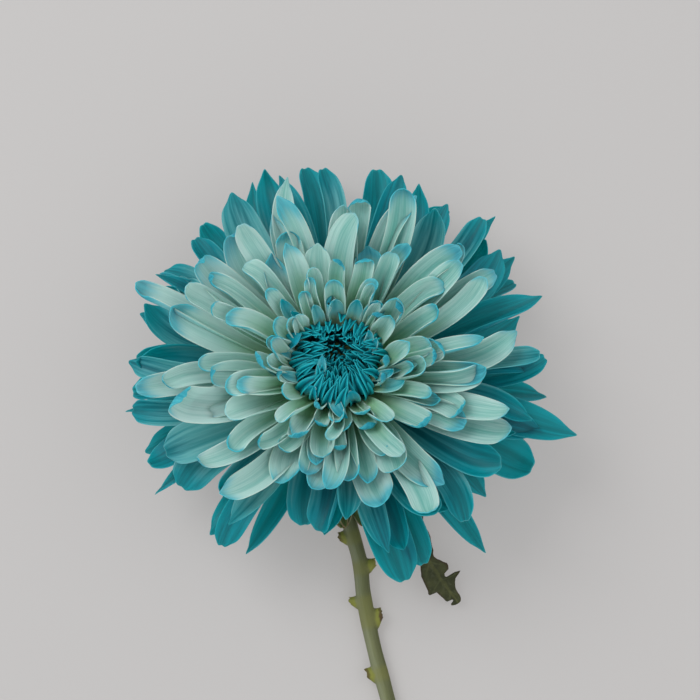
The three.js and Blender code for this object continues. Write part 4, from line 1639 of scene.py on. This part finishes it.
# %% The table
TABLE_SIZE = 4
TABLE_GREY = (0.30, 0.295, 0.29, 1)
# painted light: the table glows a little of itself, though it is no lamp, which weakens the flower's
# shadow on it
TABLE_GLOW = (0.25, 0.238, 0.232, 1)

bpy.ops.object.select_all(action="DESELECT")
bpy.ops.mesh.primitive_plane_add(size=TABLE_SIZE)
table = bpy.context.object
table.name = "table_top"
table_finish = Finish("table_paint", {
    "Roughness": 0.9, "Base Color": TABLE_GREY, "Emission Color": TABLE_GLOW,
    "Emission Strength": 1.0})
table.data.materials.append(table_finish.material)
table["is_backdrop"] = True
print("the table is", table.dimensions.x, "m wide")

# %% Light
ROOM_GREY = (0.8, 0.82, 0.85, 1)
ROOM_STRENGTH = 0.66


def soft_light(place, size, power):
    bpy.ops.object.select_all(action="DESELECT")
    bpy.ops.object.light_add(type="AREA", location=place)
    light = bpy.context.object
    light.data.size = size
    light.data.energy = power
    light.rotation_mode = "QUATERNION"
    light.rotation_quaternion = (disc_middle - Vector(place)).to_track_quat("-Z", "Y")
    return light


key = soft_light((-0.6, 0.5, 0.9), size=0.7, power=6.5)
fill = soft_light((0.7, 0.1, 0.8), size=0.9, power=1.5)
low_fill = soft_light((0.1, -0.7, 0.8), size=0.9, power=1.6)
world = bpy.data.worlds.new("room")
world.use_nodes = True
room = world.node_tree.nodes["Background"]
room.inputs["Color"].default_value = ROOM_GREY
room.inputs["Strength"].default_value = ROOM_STRENGTH
bpy.context.scene.world = world
bpy.context.scene.view_settings.view_transform = "Standard"
print("lights of", [light.data.energy for light in (key, fill, low_fill)], "W")

# %% Camera
ELEVATION = math.radians(83)
LENS = 100
SENSOR = 36
PHOTO_SIDE = 700
PIXEL = 0.301 * MM
DISC_PIXEL = (337, 357)

back = Vector((0, -math.cos(ELEVATION), math.sin(ELEVATION)))
turn = (-back).to_track_quat("-Z", "Y")
right = turn @ Vector((1, 0, 0))
up = turn @ Vector((0, 1, 0))
target = disc_middle + right * (PHOTO_SIDE / 2 - DISC_PIXEL[0]) * PIXEL
target += up * (DISC_PIXEL[1] - PHOTO_SIDE / 2) * PIXEL
distance = PHOTO_SIDE * PIXEL / SENSOR * LENS
bpy.ops.object.select_all(action="DESELECT")
bpy.ops.object.camera_add(location=target + back * distance)
camera = bpy.context.object
camera.data.lens = LENS
camera.data.sensor_width = SENSOR
camera.rotation_mode = "QUATERNION"
camera.rotation_quaternion = turn
bpy.context.scene.camera = camera
print("the camera is", round(distance, 3), "m from the disc")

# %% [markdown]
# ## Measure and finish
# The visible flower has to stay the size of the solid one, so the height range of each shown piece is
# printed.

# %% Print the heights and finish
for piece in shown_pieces():
    heights = points_of(piece)[:, 2] / MM
    print(piece.name, "from", round(heights.min(), 1), "to", round(heights.max(), 1), "mm high")
